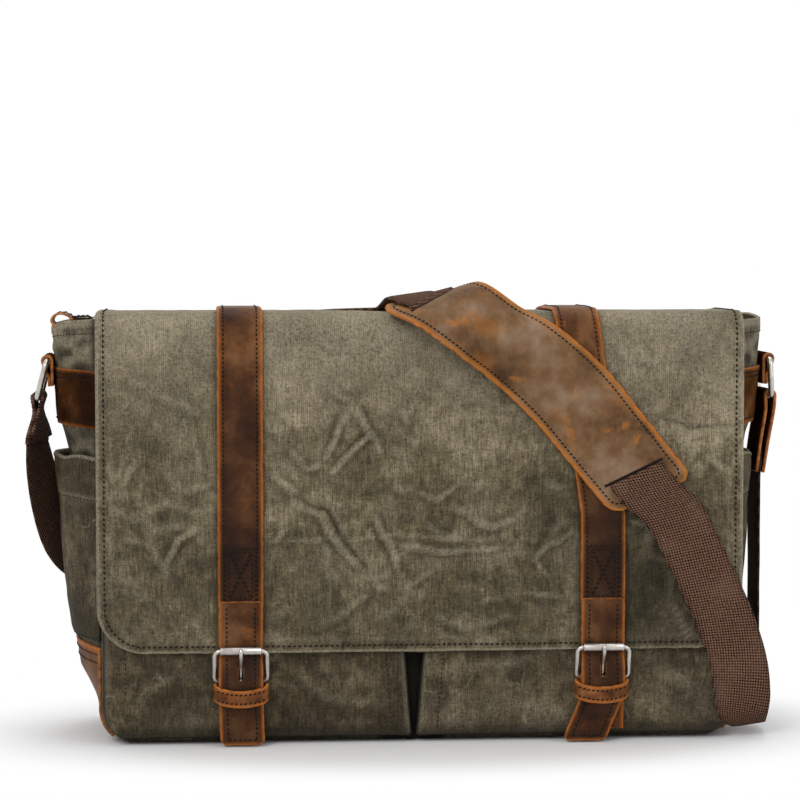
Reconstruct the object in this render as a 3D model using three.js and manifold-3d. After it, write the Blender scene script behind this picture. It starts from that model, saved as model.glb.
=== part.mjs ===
// A waxed canvas and leather messenger bag, standing on its flat base, in millimetres with +Z up.
// The front faces -Y. The origin is the middle of the base.
import * as THREE from 'three';
import { mergeVertices } from 'three/addons/utils/BufferGeometryUtils.js';
import Module from 'manifold-3d';

const wasm = await Module();
wasm.setup();

// Driving sizes of the body
const bodyWidth = 420;
const bodyHeight = 283;
const bodyDepth = 120;
const cornerRadius = 22;
const mouthDrop = 11.5;
const gussetTop = bodyHeight - mouthDrop;
const leftBulgeDepth = 33;
const rightBulgeDepth = 26;

// Sheet goods
const gap = 0.3;
const canvasThick = 2;
const liningThick = 1;
const leatherThick = 2.6;
const thinLeatherThick = 2;
const webbingThick = 2.4;
const webbingWidth = 38;

// Flap
const flapWidth = 423;
const hemHeight = 61;
const flapCornerRadius = 30;
const foldClearance = 3.5;

// Front pockets
const pocketDepth = 12;
const pocketTop = 215;
const pocketBottom = 4;
const pocketSideInset = 1.5;
const pocketGapCentre = -5;
const pocketGapAtTop = 38;
const pocketGapAtBottom = 4;
const pocketCorner = 18;

// Leather closing straps
const strapWidth = 29;
const strapX = 119;
const rightStrapTopX = 101;
const rightStrapBendHeight = 150;
const strapEndHeight = 92;
const strapTrim = 1.3;
const tongueEndHeight = 1.2;

// Buckles
const hingeBarHeight = 42;
const rollerHeight = 63;
const buckleWidth = 38;
const buckleCorner = 3;
const barRadius = 1.6;
const rollerRadius = 2.5;
const rollerLength = 26;
const prongRadius = 1.2;
const prongWidth = 2.6;
const prongRingRadius = 3.3;
const prongSlotWidth = 4.6;
const prongSlotLow = 43.2;
const prongSlotHigh = 59;
const keeperLow = 26.5;
const keeperTall = 10;
const keeperRoom = 1;
const chapeLow = 8;
const chapeThick = 1.6;
const tailBow = 1;
const snapHeight = 16.5;
const snapRadius = 7;
const snapThick = 1.2;

// Side rings
const ringWireRadius = 2;
const ringCorner = 2.8;
const ringInnerWidth = 40;
const ringInnerTall = 21;
const bandDrop = 27.5;
const bandTall = 36;
const bandHigh = gussetTop - bandDrop;
const bandLow = bandHigh - bandTall;
const ringRise = 6;
const ringTopHeight = bandHigh + ringRise;
const leftRingReach = 6.5;
const rightRingReach = 1.2;
const ringTabWidth = 36;
const ringTabReach = 17;
const ringTabLow = ringTopHeight - ringTabReach;
const leatherEndLength = 52;
const webbingEndLength = 30;
const leftFootReach = 1.5;
const rightFootReach = -7;

// Side pockets and leather corners
const sidePocketDrop = 21;
const sidePocketTop = bandLow - sidePocketDrop;
const sidePocketBottom = 68;
const sidePocketRoom = 8;
const cornerPatchTop = 65;
const cornerPatchLow = 6;
const patchEdgeInset = 2;
const patchEase = 0.8;

// Padded sleeve divider
const dividerThick = 5;
const dividerTop = 221;
const sleeveRoom = 15;
const dividerSideRoom = 9;

// Zip closure, stored open
const zipRise = 3.1;
const zipHeight = gussetTop + zipRise;
const zipPanelThick = 1.6;
const zipChainHalfGap = 1.3;
const zipHalfLength = 196;
const zipTailLength = 42;
const zipTailWidth = 24;
const sliderLength = 12;
const sliderWidth = 11;
const sliderPlate = 2;
const sliderPark = 12;
const sliderRestX = -zipHalfLength - sliderPark;
const lugThick = 1.5;
const lugRoom = 6;
const pinReach = 2;
const pinDrop = 0.9;
const pullLength = 21;
const pullThick = 1.2;
const pullPinRadius = 0.7;
const pullEyeRadius = 1.6;
const tailTabLength = 17;
const tailTabWidth = 30;
const tailTabWall = 1.6;

// Shoulder pad
const padWidth = 58;
const padThick = 5;
const padLiningThick = 1.4;
const padLift = 4.7;

// Overrun of every cutter past the solid that it cuts
const overrun = 10;

// Derived places, front to back
const half = bodyWidth / 2;
const backFace = bodyDepth / 2;
const flapFace = -bodyDepth / 2;
const flapBack = flapFace + canvasThick;
const snapGap = gap + snapThick;
const pocketFace = flapBack + snapGap + gap;
const frontFace = pocketFace + pocketDepth;
const frontInner = frontFace + canvasThick;
const backInner = backFace - canvasThick;
const gussetFront = frontInner + gap;
const gussetBack = backInner - gap;
const sideMiddle = (gussetFront + gussetBack) / 2;
const rimHeight = bodyHeight - canvasThick - gap;

const colours = {
  canvas: 0x55523f,
  canvasDark: 0x3c3a2e,
  lining: 0x4a4335,
  leather: 0x5d3a22,
  leatherEdge: 0x8a4d1f,
  webbing: 0x4a3228,
  nickel: 0xb9b6b0,
  zip: 0x33302a,
};

const bag = new THREE.Group();

/** A named material of one of the colours above. */
function finish(colour, roughness, metalness) {
  return new THREE.MeshStandardMaterial({ color: colour, roughness, metalness });
}

const canvasFinish = finish(colours.canvas, 0.85, 0);
const canvasDarkFinish = finish(colours.canvasDark, 0.88, 0);
const liningFinish = finish(colours.lining, 0.9, 0);
const leatherFinish = finish(colours.leather, 0.55, 0);
const leatherEdgeFinish = finish(colours.leatherEdge, 0.6, 0);
const webbingFinish = finish(colours.webbing, 0.9, 0);
const nickelFinish = finish(colours.nickel, 0.35, 1);
const zipFinish = finish(colours.zip, 0.7, 0);

/** Adds one closed solid to the bag under its name. */
function piece(name, geometry, material) {
  const mesh = new THREE.Mesh(geometry, material);
  mesh.name = name;
  bag.add(mesh);
  return mesh;
}

/** A geometry with only shared corner places, ready for cutting. */
function welded(geometry) {
  const bare = geometry.clone();
  bare.deleteAttribute('normal');
  bare.deleteAttribute('uv');
  return mergeVertices(bare);
}

/** Turns a closed geometry into a solid that can be cut and joined. */
function solid(geometry) {
  const g = welded(geometry);
  const vertProperties = new Float32Array(g.attributes.position.array);
  const triVerts = new Uint32Array(g.index.array);
  return new wasm.Manifold(new wasm.Mesh({ numProp: 3, vertProperties, triVerts }));
}

/** Turns a solid back into a geometry. */
function shown(body) {
  const mesh = body.getMesh();
  const g = new THREE.BufferGeometry();
  g.setAttribute('position', new THREE.BufferAttribute(new Float32Array(mesh.vertProperties), 3));
  g.setIndex(new THREE.BufferAttribute(new Uint32Array(mesh.triVerts), 1));
  return g;
}

/** Joins closed geometries into one solid. */
function joined(geometries) {
  return geometries.map(solid).reduce((sum, next) => sum.add(next));
}

/** A box between two corners. */
function block(low, high) {
  const g = new THREE.BoxGeometry(high[0] - low[0], high[1] - low[1], high[2] - low[2]);
  const middle = low.map((value, i) => (value + high[i]) / 2);
  return g.translate(...middle);
}

/** A round bar between two points. */
function rod(from, to, radius, sides = 10) {
  const a = new THREE.Vector3(...from);
  const b = new THREE.Vector3(...to);
  const along = b.clone().sub(a);
  const g = new THREE.CylinderGeometry(radius, radius, along.length(), sides);
  const turn = new THREE.Quaternion().setFromUnitVectors(new THREE.Vector3(0, 1, 0), along.normalize());
  return g.applyQuaternion(turn).translate(...a.add(b).divideScalar(2).toArray());
}

/** A closed rectangular loop of round wire between two opposite bars, with rounded corners. */
function wireLoop(low, high, halfWide, way, wireRadius, corner) {
  const up = high.clone().sub(low);
  const halfTall = up.length() / 2;
  up.normalize();
  const centre = low.clone().add(high).divideScalar(2);
  const normal = way.clone().cross(up);
  const turns = 3;
  const path = [];
  for (const [i, [sx, sy]] of [[1, 1], [-1, 1], [-1, -1], [1, -1]].entries()) {
    for (let k = 0; k <= turns; k++) {
      const angle = (i + k / turns) * (Math.PI / 2);
      const x = sx * (halfWide - corner) + corner * Math.cos(angle);
      const y = sy * (halfTall - corner) + corner * Math.sin(angle);
      path.push(centre.clone().addScaledVector(way, x).addScaledVector(up, y));
    }
  }
  const sections = 8;
  const positions = [];
  path.forEach((point, i) => {
    const before = point.clone().sub(path.at(i - 1)).normalize();
    const after = path[(i + 1) % path.length].clone().sub(point).normalize();
    const along = before.clone().add(after).normalize();
    const outward = along.clone().cross(normal).divideScalar(before.dot(along));
    for (let k = 0; k < sections; k++) {
      const angle = (2 * Math.PI * k) / sections;
      const spot = point.clone().addScaledVector(outward, wireRadius * Math.cos(angle));
      positions.push(...spot.addScaledVector(normal, wireRadius * Math.sin(angle)).toArray());
    }
  });
  const index = [];
  for (let i = 0; i < path.length; i++) {
    for (let k = 0; k < sections; k++) {
      const here = i * sections;
      const there = ((i + 1) % path.length) * sections;
      const next = (k + 1) % sections;
      index.push(here + k, here + next, there + next, here + k, there + next, there + k);
    }
  }
  return facingOut(positions, index);
}

/** A round knuckle where two bars meet. */
function knuckle(at, radius) {
  return new THREE.SphereGeometry(radius, 10, 6).translate(...at);
}

/** A tube along X or Y, open at both ends, round a bar. */
function sleeve(x, y, z, length, outer, bore, way = 'x') {
  const profile = [
    new THREE.Vector2(bore, -length / 2),
    new THREE.Vector2(outer, -length / 2),
    new THREE.Vector2(outer, length / 2),
    new THREE.Vector2(bore, length / 2),
    new THREE.Vector2(bore, -length / 2),
  ];
  const g = welded(new THREE.LatheGeometry(profile, 14));
  return g.rotateZ(way === 'x' ? -Math.PI / 2 : 0).translate(x, y, z);
}

/** An upright sheet: an outline in X and Z, from backY forward by its thickness. */
function upright(shape, backY, thickness, curveSegments = 6) {
  const g = new THREE.ExtrudeGeometry(shape, { depth: thickness, bevelEnabled: false, curveSegments });
  return g.rotateX(Math.PI / 2).translate(0, backY, 0);
}

/** A strip that bends in the YZ plane, given its middle line, and runs from lowX across its width. */
function bentStrip(line, thickness, lowX, width) {
  const points = line.map(([y, z]) => new THREE.Vector2(y, z));
  const side = points.map((point, i) => {
    const before = points[Math.max(i - 1, 0)];
    const after = points[Math.min(i + 1, points.length - 1)];
    const along = after.clone().sub(before).normalize();
    return new THREE.Vector2(-along.y, along.x).multiplyScalar(thickness / 2);
  });
  const outline = points.map((point, i) => point.clone().add(side[i]));
  outline.push(...points.map((point, i) => point.clone().sub(side[i])).reverse());
  const g = new THREE.ExtrudeGeometry(new THREE.Shape(outline), { depth: width, bevelEnabled: false });
  return g.applyMatrix4(yzToWorld).translate(lowX, 0, 0);
}

const yzToWorld = new THREE.Matrix4().makeBasis(
  new THREE.Vector3(0, 1, 0),
  new THREE.Vector3(0, 0, 1),
  new THREE.Vector3(1, 0, 0),
);

/** A closed sheet between two faces, each a function of u and v from 0 to 1. */
function sheet(across, along, outer, inner) {
  const positions = [];
  const index = [];
  for (const face of [outer, inner]) {
    for (let j = 0; j <= along; j++) {
      for (let i = 0; i <= across; i++) {
        positions.push(...face(i / across, j / along).toArray());
      }
    }
  }
  const row = across + 1;
  const under = row * (along + 1);
  const quad = (a, b, c, d) => index.push(a, b, c, a, c, d);
  for (let j = 0; j < along; j++) {
    for (let i = 0; i < across; i++) {
      const a = j * row + i;
      quad(a, a + 1, a + 1 + row, a + row);
      quad(under + a, under + a + row, under + a + 1 + row, under + a + 1);
    }
  }
  for (let i = 0; i < across; i++) {
    const far = along * row + i;
    quad(i + 1, i, under + i, under + i + 1);
    quad(far, far + 1, under + far + 1, under + far);
  }
  for (let j = 0; j < along; j++) {
    const near = j * row;
    const far = near + across;
    quad(near, near + row, under + near + row, under + near);
    quad(far + row, far, under + far, under + far + row);
  }
  return facingOut(positions, index);
}

/** A geometry from corners and triangles, turned inside out if its volume is negative. */
function facingOut(positions, index) {
  let volume = 0;
  const corner = (i) => new THREE.Vector3().fromArray(positions, 3 * i);
  for (let t = 0; t < index.length; t += 3) {
    volume += corner(index[t]).dot(corner(index[t + 1]).cross(corner(index[t + 2])));
  }
  if (volume < 0) {
    index.reverse();
  }
  const g = new THREE.BufferGeometry();
  g.setAttribute('position', new THREE.Float32BufferAttribute(positions, 3));
  g.setIndex(index);
  return g;
}

/** A flat strap through rows of two edge points, with its middle lifted off them. */
function liftedRibbon(rows, thickness, lift, steps, across = 1) {
  const left = new THREE.CatmullRomCurve3(rows.map((row) => row[0]), false, 'centripetal');
  const right = new THREE.CatmullRomCurve3(rows.map((row) => row[1]), false, 'centripetal');
  const middle = (u, v) => left.getPoint(v).lerp(right.getPoint(v), u);
  const normal = (v) => {
    const along = middle(0.5, Math.min(v + 0.01, 1)).sub(middle(0.5, Math.max(v - 0.01, 0)));
    const acrossWay = right.getPoint(v).sub(left.getPoint(v));
    return acrossWay.cross(along).normalize();
  };
  const outer = (u, v) => middle(u, v).addScaledVector(normal(v), lift + thickness / 2);
  const inner = (u, v) => middle(u, v).addScaledVector(normal(v), lift - thickness / 2);
  return sheet(across, steps, outer, inner);
}

/** A flat strap through rows of two edge points. */
function ribbon(rows, thickness, steps) {
  return liftedRibbon(rows, thickness, 0, steps);
}

/** Rows of edge points from a middle line and the way across at each point. */
function edgeRows(line, width) {
  return line.map(([middle, across]) => {
    const reach = across.clone().normalize().multiplyScalar(width / 2);
    return [middle.clone().sub(reach), middle.clone().add(reach)];
  });
}

// How far each side bulges, as a share of its bulge, at shares of the gusset's height
const leftBulgeShares = [
  [0, 0],
  [0.1, 0.42],
  [0.2, 0.56],
  [0.45, 0.62],
  [0.66, 0.66],
  [0.75, 0.86],
  [0.88, 0.93],
  [1, 1],
];
const rightBulgeShares = [
  [0, 0],
  [0.1, 0.24],
  [0.2, 0.3],
  [0.45, 0.32],
  [0.66, 0.4],
  [0.75, 0.76],
  [0.88, 0.92],
  [1, 1],
];

const sides = [
  { name: 'left', sign: -1, bulge: leftBulgeDepth, bulgeShares: leftBulgeShares, lean: leftRingReach },
  { name: 'right', sign: 1, bulge: rightBulgeDepth, bulgeShares: rightBulgeShares, lean: rightRingReach },
];

/** How far a side bulges at mid depth at a height, straight between its table's rows. */
function bulgeAt(side, z) {
  const share = Math.min(Math.max((z - cornerRadius) / (gussetTop - cornerRadius), 0), 1);
  const rows = side.bulgeShares;
  const next = Math.max(rows.findIndex((row) => row[0] >= share), 1);
  const [low, high] = [rows[next - 1], rows[next]];
  return side.bulge * THREE.MathUtils.mapLinear(share, low[0], high[0], low[1], high[1]);
}

/** Half the body's width at a height, without the bulge, drawn in by inset. */
function halfWidthAt(z, inset) {
  if (z >= cornerRadius) {
    return half - inset;
  }
  const radius = cornerRadius - inset;
  const drop = cornerRadius - z;
  return half - cornerRadius + Math.sqrt(Math.max(radius * radius - drop * drop, 0));
}

// The facets that every sheet on a side shares, so that they stay parallel
const sideFacets = 8;
const facetDepths = Array.from(
  { length: sideFacets + 1 },
  (_, i) => THREE.MathUtils.lerp(gussetFront, gussetBack, i / sideFacets),
);
const cornerShares = [0.12, 0.4, 0.7, 1];

/** The heights at which a side changes slope. */
function facetHeights(side) {
  const turn = cornerShares.map((share) => share * cornerRadius);
  const rising = side.bulgeShares.map(([share]) => cornerRadius + share * (gussetTop - cornerRadius));
  return [...turn, ...rising.slice(1)];
}

/** The values from low to high that include every shared facet between them. */
function between(low, high, facets) {
  return [low, ...facets.filter((value) => value > low + gap && value < high - gap), high];
}

/** The share of the bulge at a depth, straight between the shared facets. */
function bulgeShare(y) {
  const facet = (sideFacets * (y - gussetFront)) / (gussetBack - gussetFront);
  const i = Math.min(Math.max(Math.floor(facet), 0), sideFacets - 1);
  const level = (n) => Math.sin((Math.PI * n) / sideFacets);
  return THREE.MathUtils.lerp(level(i), level(i + 1), Math.min(Math.max(facet - i, 0), 1));
}

/** How far out the side stands at a place on the gusset. */
function sideAt(side, y, z) {
  return halfWidthAt(z, 0) + bulgeAt(side, z) * bulgeShare(y);
}

/** A sheet that lies on the gusset, between two depths and two heights. */
function onSide(side, [front, back], [low, high], lift, thickness) {
  const depths = between(front, back, facetDepths);
  const heights = between(low, high, facetHeights(side));
  const across = depths.length - 1;
  const along = heights.length - 1;
  const at = (u, v, extra) => {
    const y = depths[Math.round(u * across)];
    const z = heights[Math.round(v * along)];
    const out = sideAt(side, y, z) + lift((y - front) / (back - front), (z - low) / (high - low)) + extra;
    return new THREE.Vector3(side.sign * out, y, z);
  };
  return sheet(across, along, (u, v) => at(u, v, thickness), (u, v) => at(u, v, 0));
}

/** The outline of an upright panel with rounded lower corners. */
function roundedPanel(lowX, highX, lowZ, highZ, leftRadius, rightRadius) {
  const shape = new THREE.Shape();
  shape.moveTo(lowX, highZ);
  shape.lineTo(lowX, lowZ + leftRadius);
  if (leftRadius > 0) {
    shape.absarc(lowX + leftRadius, lowZ + leftRadius, leftRadius, Math.PI, 1.5 * Math.PI, false);
  }
  shape.lineTo(highX - rightRadius, lowZ);
  if (rightRadius > 0) {
    shape.absarc(highX - rightRadius, lowZ + rightRadius, rightRadius, 1.5 * Math.PI, 2 * Math.PI, false);
  }
  shape.lineTo(highX, highZ);
  return shape;
}

/** The front and back canvas panels. */
function buildPanels() {
  const outline = roundedPanel(-half, half, 0, rimHeight, cornerRadius, cornerRadius);
  piece('front_panel', upright(outline, frontInner, canvasThick), canvasFinish);
  piece('back_panel', upright(outline, backFace, canvasThick), canvasFinish);
}

/** The bottom panel, which turns up into the sides at both ends. */
function buildBottom() {
  const inner = cornerRadius - canvasThick;
  const centre = half - cornerRadius;
  const shape = new THREE.Shape();
  shape.moveTo(-half, cornerRadius);
  shape.absarc(-centre, cornerRadius, cornerRadius, Math.PI, 1.5 * Math.PI, false);
  shape.lineTo(centre, 0);
  shape.absarc(centre, cornerRadius, cornerRadius, 1.5 * Math.PI, 2 * Math.PI, false);
  shape.lineTo(half - canvasThick, cornerRadius);
  shape.absarc(centre, cornerRadius, inner, 2 * Math.PI, 1.5 * Math.PI, true);
  shape.lineTo(-centre, canvasThick);
  shape.absarc(-centre, cornerRadius, inner, 1.5 * Math.PI, Math.PI, true);
  piece('bottom_panel', upright(shape, gussetBack, gussetBack - gussetFront, 5), canvasDarkFinish);
}

/** The two side gussets with their leather bands, corner patches and pockets. */
function buildSides() {
  const full = [gussetFront, gussetBack];
  const inside = [gussetFront + patchEdgeInset, gussetBack - patchEdgeInset];
  for (const side of sides) {
    const seated = () => gap;
    const eased = (u, v) => gap + patchEase * (1 - v / 2);
    const room = (u, v) => gap + sidePocketRoom * Math.sin(Math.PI * u) * Math.sqrt(v);
    const gusset = onSide(side, full, [cornerRadius + gap, gussetTop], () => -canvasThick, canvasThick);
    piece(`gusset_${side.name}`, gusset, canvasFinish);
    const band = onSide(side, inside, [bandLow, bandHigh], seated, thinLeatherThick);
    piece(`gusset_band_${side.name}`, band, leatherFinish);
    const patch = onSide(side, inside, [cornerPatchLow, cornerPatchTop], eased, thinLeatherThick);
    piece(`corner_leather_${side.name}`, patch, leatherEdgeFinish);
    const pocket = onSide(side, inside, [sidePocketBottom, sidePocketTop], room, canvasThick);
    piece(`side_pocket_${side.name}`, pocket, canvasFinish);
  }
}

/** A closed column through plan outlines at rising heights, each drawn in by inset. */
function column(heights, inset, front, back) {
  const depths = between(front, back, facetDepths);
  const ring = (z) => {
    const points = [];
    for (const side of [sides[1], sides[0]]) {
      const round = side.sign > 0 ? depths : depths.toReversed();
      for (const y of round) {
        const out = halfWidthAt(z, inset) + bulgeAt(side, z) * bulgeShare(y);
        points.push(new THREE.Vector3(side.sign * out, y, z));
      }
    }
    return points;
  };
  const rings = heights.map(ring);
  const count = rings[0].length;
  const positions = rings.flat().flatMap((point) => point.toArray());
  const index = [];
  for (let j = 0; j + 1 < rings.length; j++) {
    for (let i = 0; i < count; i++) {
      const a = j * count + i;
      const b = j * count + ((i + 1) % count);
      const [c, d] = [a + count, b + count];
      const halves = i < depths.length ? [a, b, d, a, d, c] : [a, b, c, b, d, c];
      index.push(...halves);
    }
  }
  const middle = (front + back) / 2;
  const bottom = positions.length / 3;
  positions.push(0, middle, heights[0], 0, middle, heights.at(-1));
  const lastRing = (rings.length - 1) * count;
  for (let i = 0; i < count; i++) {
    const next = (i + 1) % count;
    index.push(bottom, next, i);
    index.push(bottom + 1, lastRing + i, lastRing + next);
  }
  return facingOut(positions, index);
}

/** The loose lining bag inside the shell. */
function buildLining() {
  const outerInset = canvasThick + gap;
  const innerInset = outerInset + liningThick;
  const top = gussetTop - gap;
  const upper = facetHeights(sides[0]).filter((z) => z > cornerRadius && z < top - gap);
  const rising = (inset, last) => [
    inset,
    ...cornerShares.map((share) => inset + share * (cornerRadius - inset)),
    ...upper,
    last,
  ];
  const outer = column(rising(outerInset, top), outerInset, gussetFront, gussetBack);
  const front = gussetFront + liningThick;
  const back = gussetBack - liningThick;
  const inner = column(rising(innerInset, top + overrun), innerInset, front, back);
  piece('lining', shown(solid(outer).subtract(solid(inner))), liningFinish);
}

/** The padded divider that makes the laptop sleeve. */
function buildDivider() {
  const back = gussetBack - liningThick - sleeveRoom;
  const reach = half - dividerSideRoom;
  const floor = canvasThick + gap + liningThick + gap;
  const radius = cornerRadius - floor;
  const outline = roundedPanel(-reach, reach, floor, dividerTop, radius, radius);
  piece('laptop_divider', upright(outline, back, dividerThick), liningFinish);
}

/** The two bellows pockets on the front, each a tray that the front panel closes. */
function buildFrontPockets() {
  const backY = frontFace - gap;
  const depth = backY - pocketFace;
  const tray = (sign, inset, extra) => {
    const outer = sign * (half - pocketSideInset - inset);
    const atTop = pocketGapCentre + sign * (pocketGapAtTop / 2 + inset);
    const atBottom = pocketGapCentre + sign * (pocketGapAtBottom / 2 + inset);
    const bottom = pocketBottom + inset;
    const slope = (atTop - atBottom) / (pocketTop - pocketBottom);
    const shape = new THREE.Shape();
    shape.moveTo(outer, pocketTop + extra);
    shape.lineTo(outer, bottom + pocketCorner);
    shape.quadraticCurveTo(outer, bottom, outer - sign * pocketCorner, bottom);
    shape.lineTo(atBottom, bottom);
    shape.lineTo(atTop + slope * extra, pocketTop + extra);
    return shape;
  };
  for (const side of sides) {
    const outer = upright(tray(side.sign, 0, 0), backY, depth, 4);
    const roomDepth = depth + overrun - canvasThick;
    const room = upright(tray(side.sign, canvasThick, overrun), backY + overrun, roomDepth, 4);
    piece(`front_pocket_${side.name}`, shown(solid(outer).subtract(solid(room))), canvasFinish);
  }
}

/** The flap: its top over the mouth and its front with rounded lower corners. */
function buildFlap() {
  const reach = flapWidth / 2;
  const top = block([-reach, flapFace + gap, rimHeight + gap], [reach, backFace - gap, bodyHeight]);
  piece('flap_top_panel', top, canvasFinish);
  const high = rimHeight;
  const outline = roundedPanel(-reach, reach, hemHeight, high, flapCornerRadius, flapCornerRadius);
  piece('flap_front_panel', upright(outline, flapBack, canvasThick), canvasFinish);
}

const strapBack = flapFace - gap;

/** The leather straps on the flap, which end above the tongues. */
function buildStraps() {
  for (const side of sides) {
    const low = side.sign * strapX;
    const high = side.name === 'right' ? rightStrapTopX : low;
    const reach = strapWidth / 2;
    const shape = new THREE.Shape();
    shape.moveTo(low - reach, strapEndHeight);
    shape.lineTo(low + reach, strapEndHeight);
    shape.lineTo(low + reach, rightStrapBendHeight);
    shape.lineTo(high + reach, bodyHeight - strapTrim);
    shape.lineTo(high - reach, bodyHeight - strapTrim);
    shape.lineTo(low - reach, rightStrapBendHeight);
    piece(`strap_front_${side.name}`, upright(shape, strapBack, leatherThick), leatherFinish);
    const front = flapFace + foldClearance;
    const floor = bodyHeight + gap;
    const back = backFace - strapTrim;
    const top = block([high - reach, front, floor], [high + reach, back, floor + leatherThick]);
    piece(`strap_top_${side.name}`, top, leatherFinish);
  }
}

// Depths at the buckle, from the pocket forward
const studBack = pocketFace - gap;
const capBack = studBack - snapThick - gap;
const chapeBack = capBack - snapThick - gap;
const chapeFace = chapeBack - chapeThick;
const tailMiddle = chapeFace - gap - leatherThick / 2;
const wrapRadius = barRadius + gap + chapeThick;
const barY = pocketFace - gap - wrapRadius - gap;
const tongueOverBar = barY - wrapRadius - gap - leatherThick / 2;
const tongueAtHem = strapBack - leatherThick / 2;
const rollerY = tongueAtHem - leatherThick / 2 - gap - rollerRadius;
const buckleWay = new THREE.Vector2(rollerY - barY, rollerHeight - hingeBarHeight).normalize();
const buckleForward = new THREE.Vector2(-buckleWay.y, buckleWay.x);

/** The tongue: down behind the roller, over the hinge bar and on to its tail. */
function tongue(x) {
  const wrapTop = hingeBarHeight + wrapRadius;
  const wrapLow = hingeBarHeight - wrapRadius;
  const line = [
    [tongueAtHem, strapEndHeight - gap],
    [tongueAtHem, rollerHeight + rollerRadius],
    [tongueAtHem, rollerHeight],
    [tongueAtHem - gap, rollerHeight - rollerRadius],
    [tongueOverBar, wrapTop],
    [tongueOverBar - gap, hingeBarHeight],
    [tongueOverBar, wrapLow],
    [tailMiddle - tailBow, keeperLow],
    [tailMiddle, snapHeight],
    [tailMiddle, tongueEndHeight],
  ];
  const strip = solid(bentStrip(line, leatherThick, x - strapWidth / 2, strapWidth));
  const reach = prongSlotWidth / 2;
  const near = tongueOverBar - overrun;
  const slot = block([x - reach, near, prongSlotLow], [x + reach, flapBack, prongSlotHigh]);
  return strip.subtract(solid(slot));
}

/** The short lower strap that wraps the hinge bar, slotted for the prong. */
function chape(x) {
  const lowX = x - strapWidth / 2;
  const plate = block(
    [lowX, chapeFace, chapeLow],
    [lowX + strapWidth, chapeBack, hingeBarHeight - barRadius],
  );
  const wrap = rod([lowX, barY, hingeBarHeight], [lowX + strapWidth, barY, hingeBarHeight], wrapRadius, 16);
  const bore = rod(
    [lowX - overrun, barY, hingeBarHeight],
    [lowX + strapWidth + overrun, barY, hingeBarHeight],
    barRadius + gap,
    16,
  );
  const reach = prongSlotWidth / 2;
  const slot = block(
    [x - reach, barY - wrapRadius - overrun, hingeBarHeight - prongRingRadius - gap],
    [x + reach, barY + wrapRadius + overrun, hingeBarHeight + wrapRadius + overrun],
  );
  return joined([plate, wrap]).subtract(solid(bore)).subtract(solid(slot));
}

/** The keeper, a square leather loop round the tongue and the chape. */
function keeper(x) {
  const reach = strapWidth / 2 + gap;
  const back = chapeBack + gap;
  const front = tongueOverBar - leatherThick / 2 - keeperRoom;
  const high = keeperLow + keeperTall;
  const wall = thinLeatherThick;
  const backWall = thinLeatherThick / 2;
  const side = reach + wall;
  const outer = block([x - side, front - wall, keeperLow], [x + side, back + backWall, high]);
  const room = block([x - reach, front, keeperLow - overrun], [x + reach, back, high + overrun]);
  return solid(outer).subtract(solid(room));
}

/** The buckle's frame: the hinge bar below, the roller's bar above and a bar at each side. */
function buckleFrame(x) {
  const low = new THREE.Vector3(x, barY, hingeBarHeight);
  const high = new THREE.Vector3(x, rollerY, rollerHeight);
  const acrossBag = new THREE.Vector3(1, 0, 0);
  return wireLoop(low, high, buckleWidth / 2 - barRadius, acrossBag, barRadius, buckleCorner);
}

/** The prong: a ring on the hinge bar and a pin that rests on the roller. */
function prong(x) {
  const rest = rollerRadius + gap + prongRadius;
  const tip = [
    rollerY + buckleForward.x * rest + buckleWay.x * barRadius,
    rollerHeight + buckleForward.y * rest + buckleWay.y * barRadius,
  ];
  const eye = sleeve(x, barY, hingeBarHeight, prongWidth, prongRingRadius, barRadius + gap);
  const pin = rod([x, barY, hingeBarHeight], [x, ...tip], prongRadius, 8);
  const bore = rod(
    [x - overrun, barY, hingeBarHeight],
    [x + overrun, barY, hingeBarHeight],
    barRadius + gap,
    14,
  );
  return joined([eye, pin, knuckle([x, ...tip], prongRadius)]).subtract(solid(bore));
}

/** Both closing sets: tongue, chape, keeper, buckle and snap. */
function buildClosures() {
  for (const side of sides) {
    const x = side.sign * strapX;
    piece(`tongue_${side.name}`, shown(tongue(x)), leatherFinish);
    piece(`chape_${side.name}`, shown(chape(x)), leatherEdgeFinish);
    piece(`keeper_${side.name}`, shown(keeper(x)), leatherEdgeFinish);
    piece(`buckle_frame_${side.name}`, buckleFrame(x), nickelFinish);
    piece(`prong_${side.name}`, shown(prong(x)), nickelFinish);
    const tube = sleeve(x, rollerY, rollerHeight, rollerLength, rollerRadius, barRadius + gap);
    piece(`roller_${side.name}`, tube, nickelFinish);
    const stud = rod([x, studBack, snapHeight], [x, studBack - snapThick, snapHeight], snapRadius, 16);
    piece(`snap_stud_${side.name}`, stud, nickelFinish);
    const cap = rod([x, capBack, snapHeight], [x, capBack - snapThick, snapHeight], snapRadius, 16);
    piece(`snap_cap_${side.name}`, cap, nickelFinish);
  }
}

/** Where a side's ring hangs: its upper and lower bars in X and Z. */
function ringBars(side) {
  const upper = sideAt(side, sideMiddle, ringTopHeight) + gap + thinLeatherThick + gap + ringWireRadius + gap;
  const drop = ringInnerTall + 2 * ringWireRadius;
  return {
    upper: [side.sign * upper, ringTopHeight],
    lower: [side.sign * (upper + side.lean), ringTopHeight - drop],
  };
}

/** A strap end that loops round a bar along Y and hangs from it. */
function loopEnd(x, z, footX, footZ, width, thickness) {
  const outer = ringWireRadius + gap + thickness;
  const loop = rod([x, -width / 2, z], [x, width / 2, z], outer, 16);
  const foot = new THREE.Vector2(footX - x, footZ - z);
  const length = foot.length();
  const plate = new THREE.BoxGeometry(thickness, width, length);
  const lean = Math.atan2(foot.x, -foot.y);
  plate.translate(0, 0, -length / 2).rotateY(-lean).translate(x, 0, z);
  const bore = rod([x, -width / 2 - overrun, z], [x, width / 2 + overrun, z], ringWireRadius + gap, 16);
  return joined([loop, plate]).subtract(solid(bore)).translate([0, sideMiddle, 0]);
}

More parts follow.
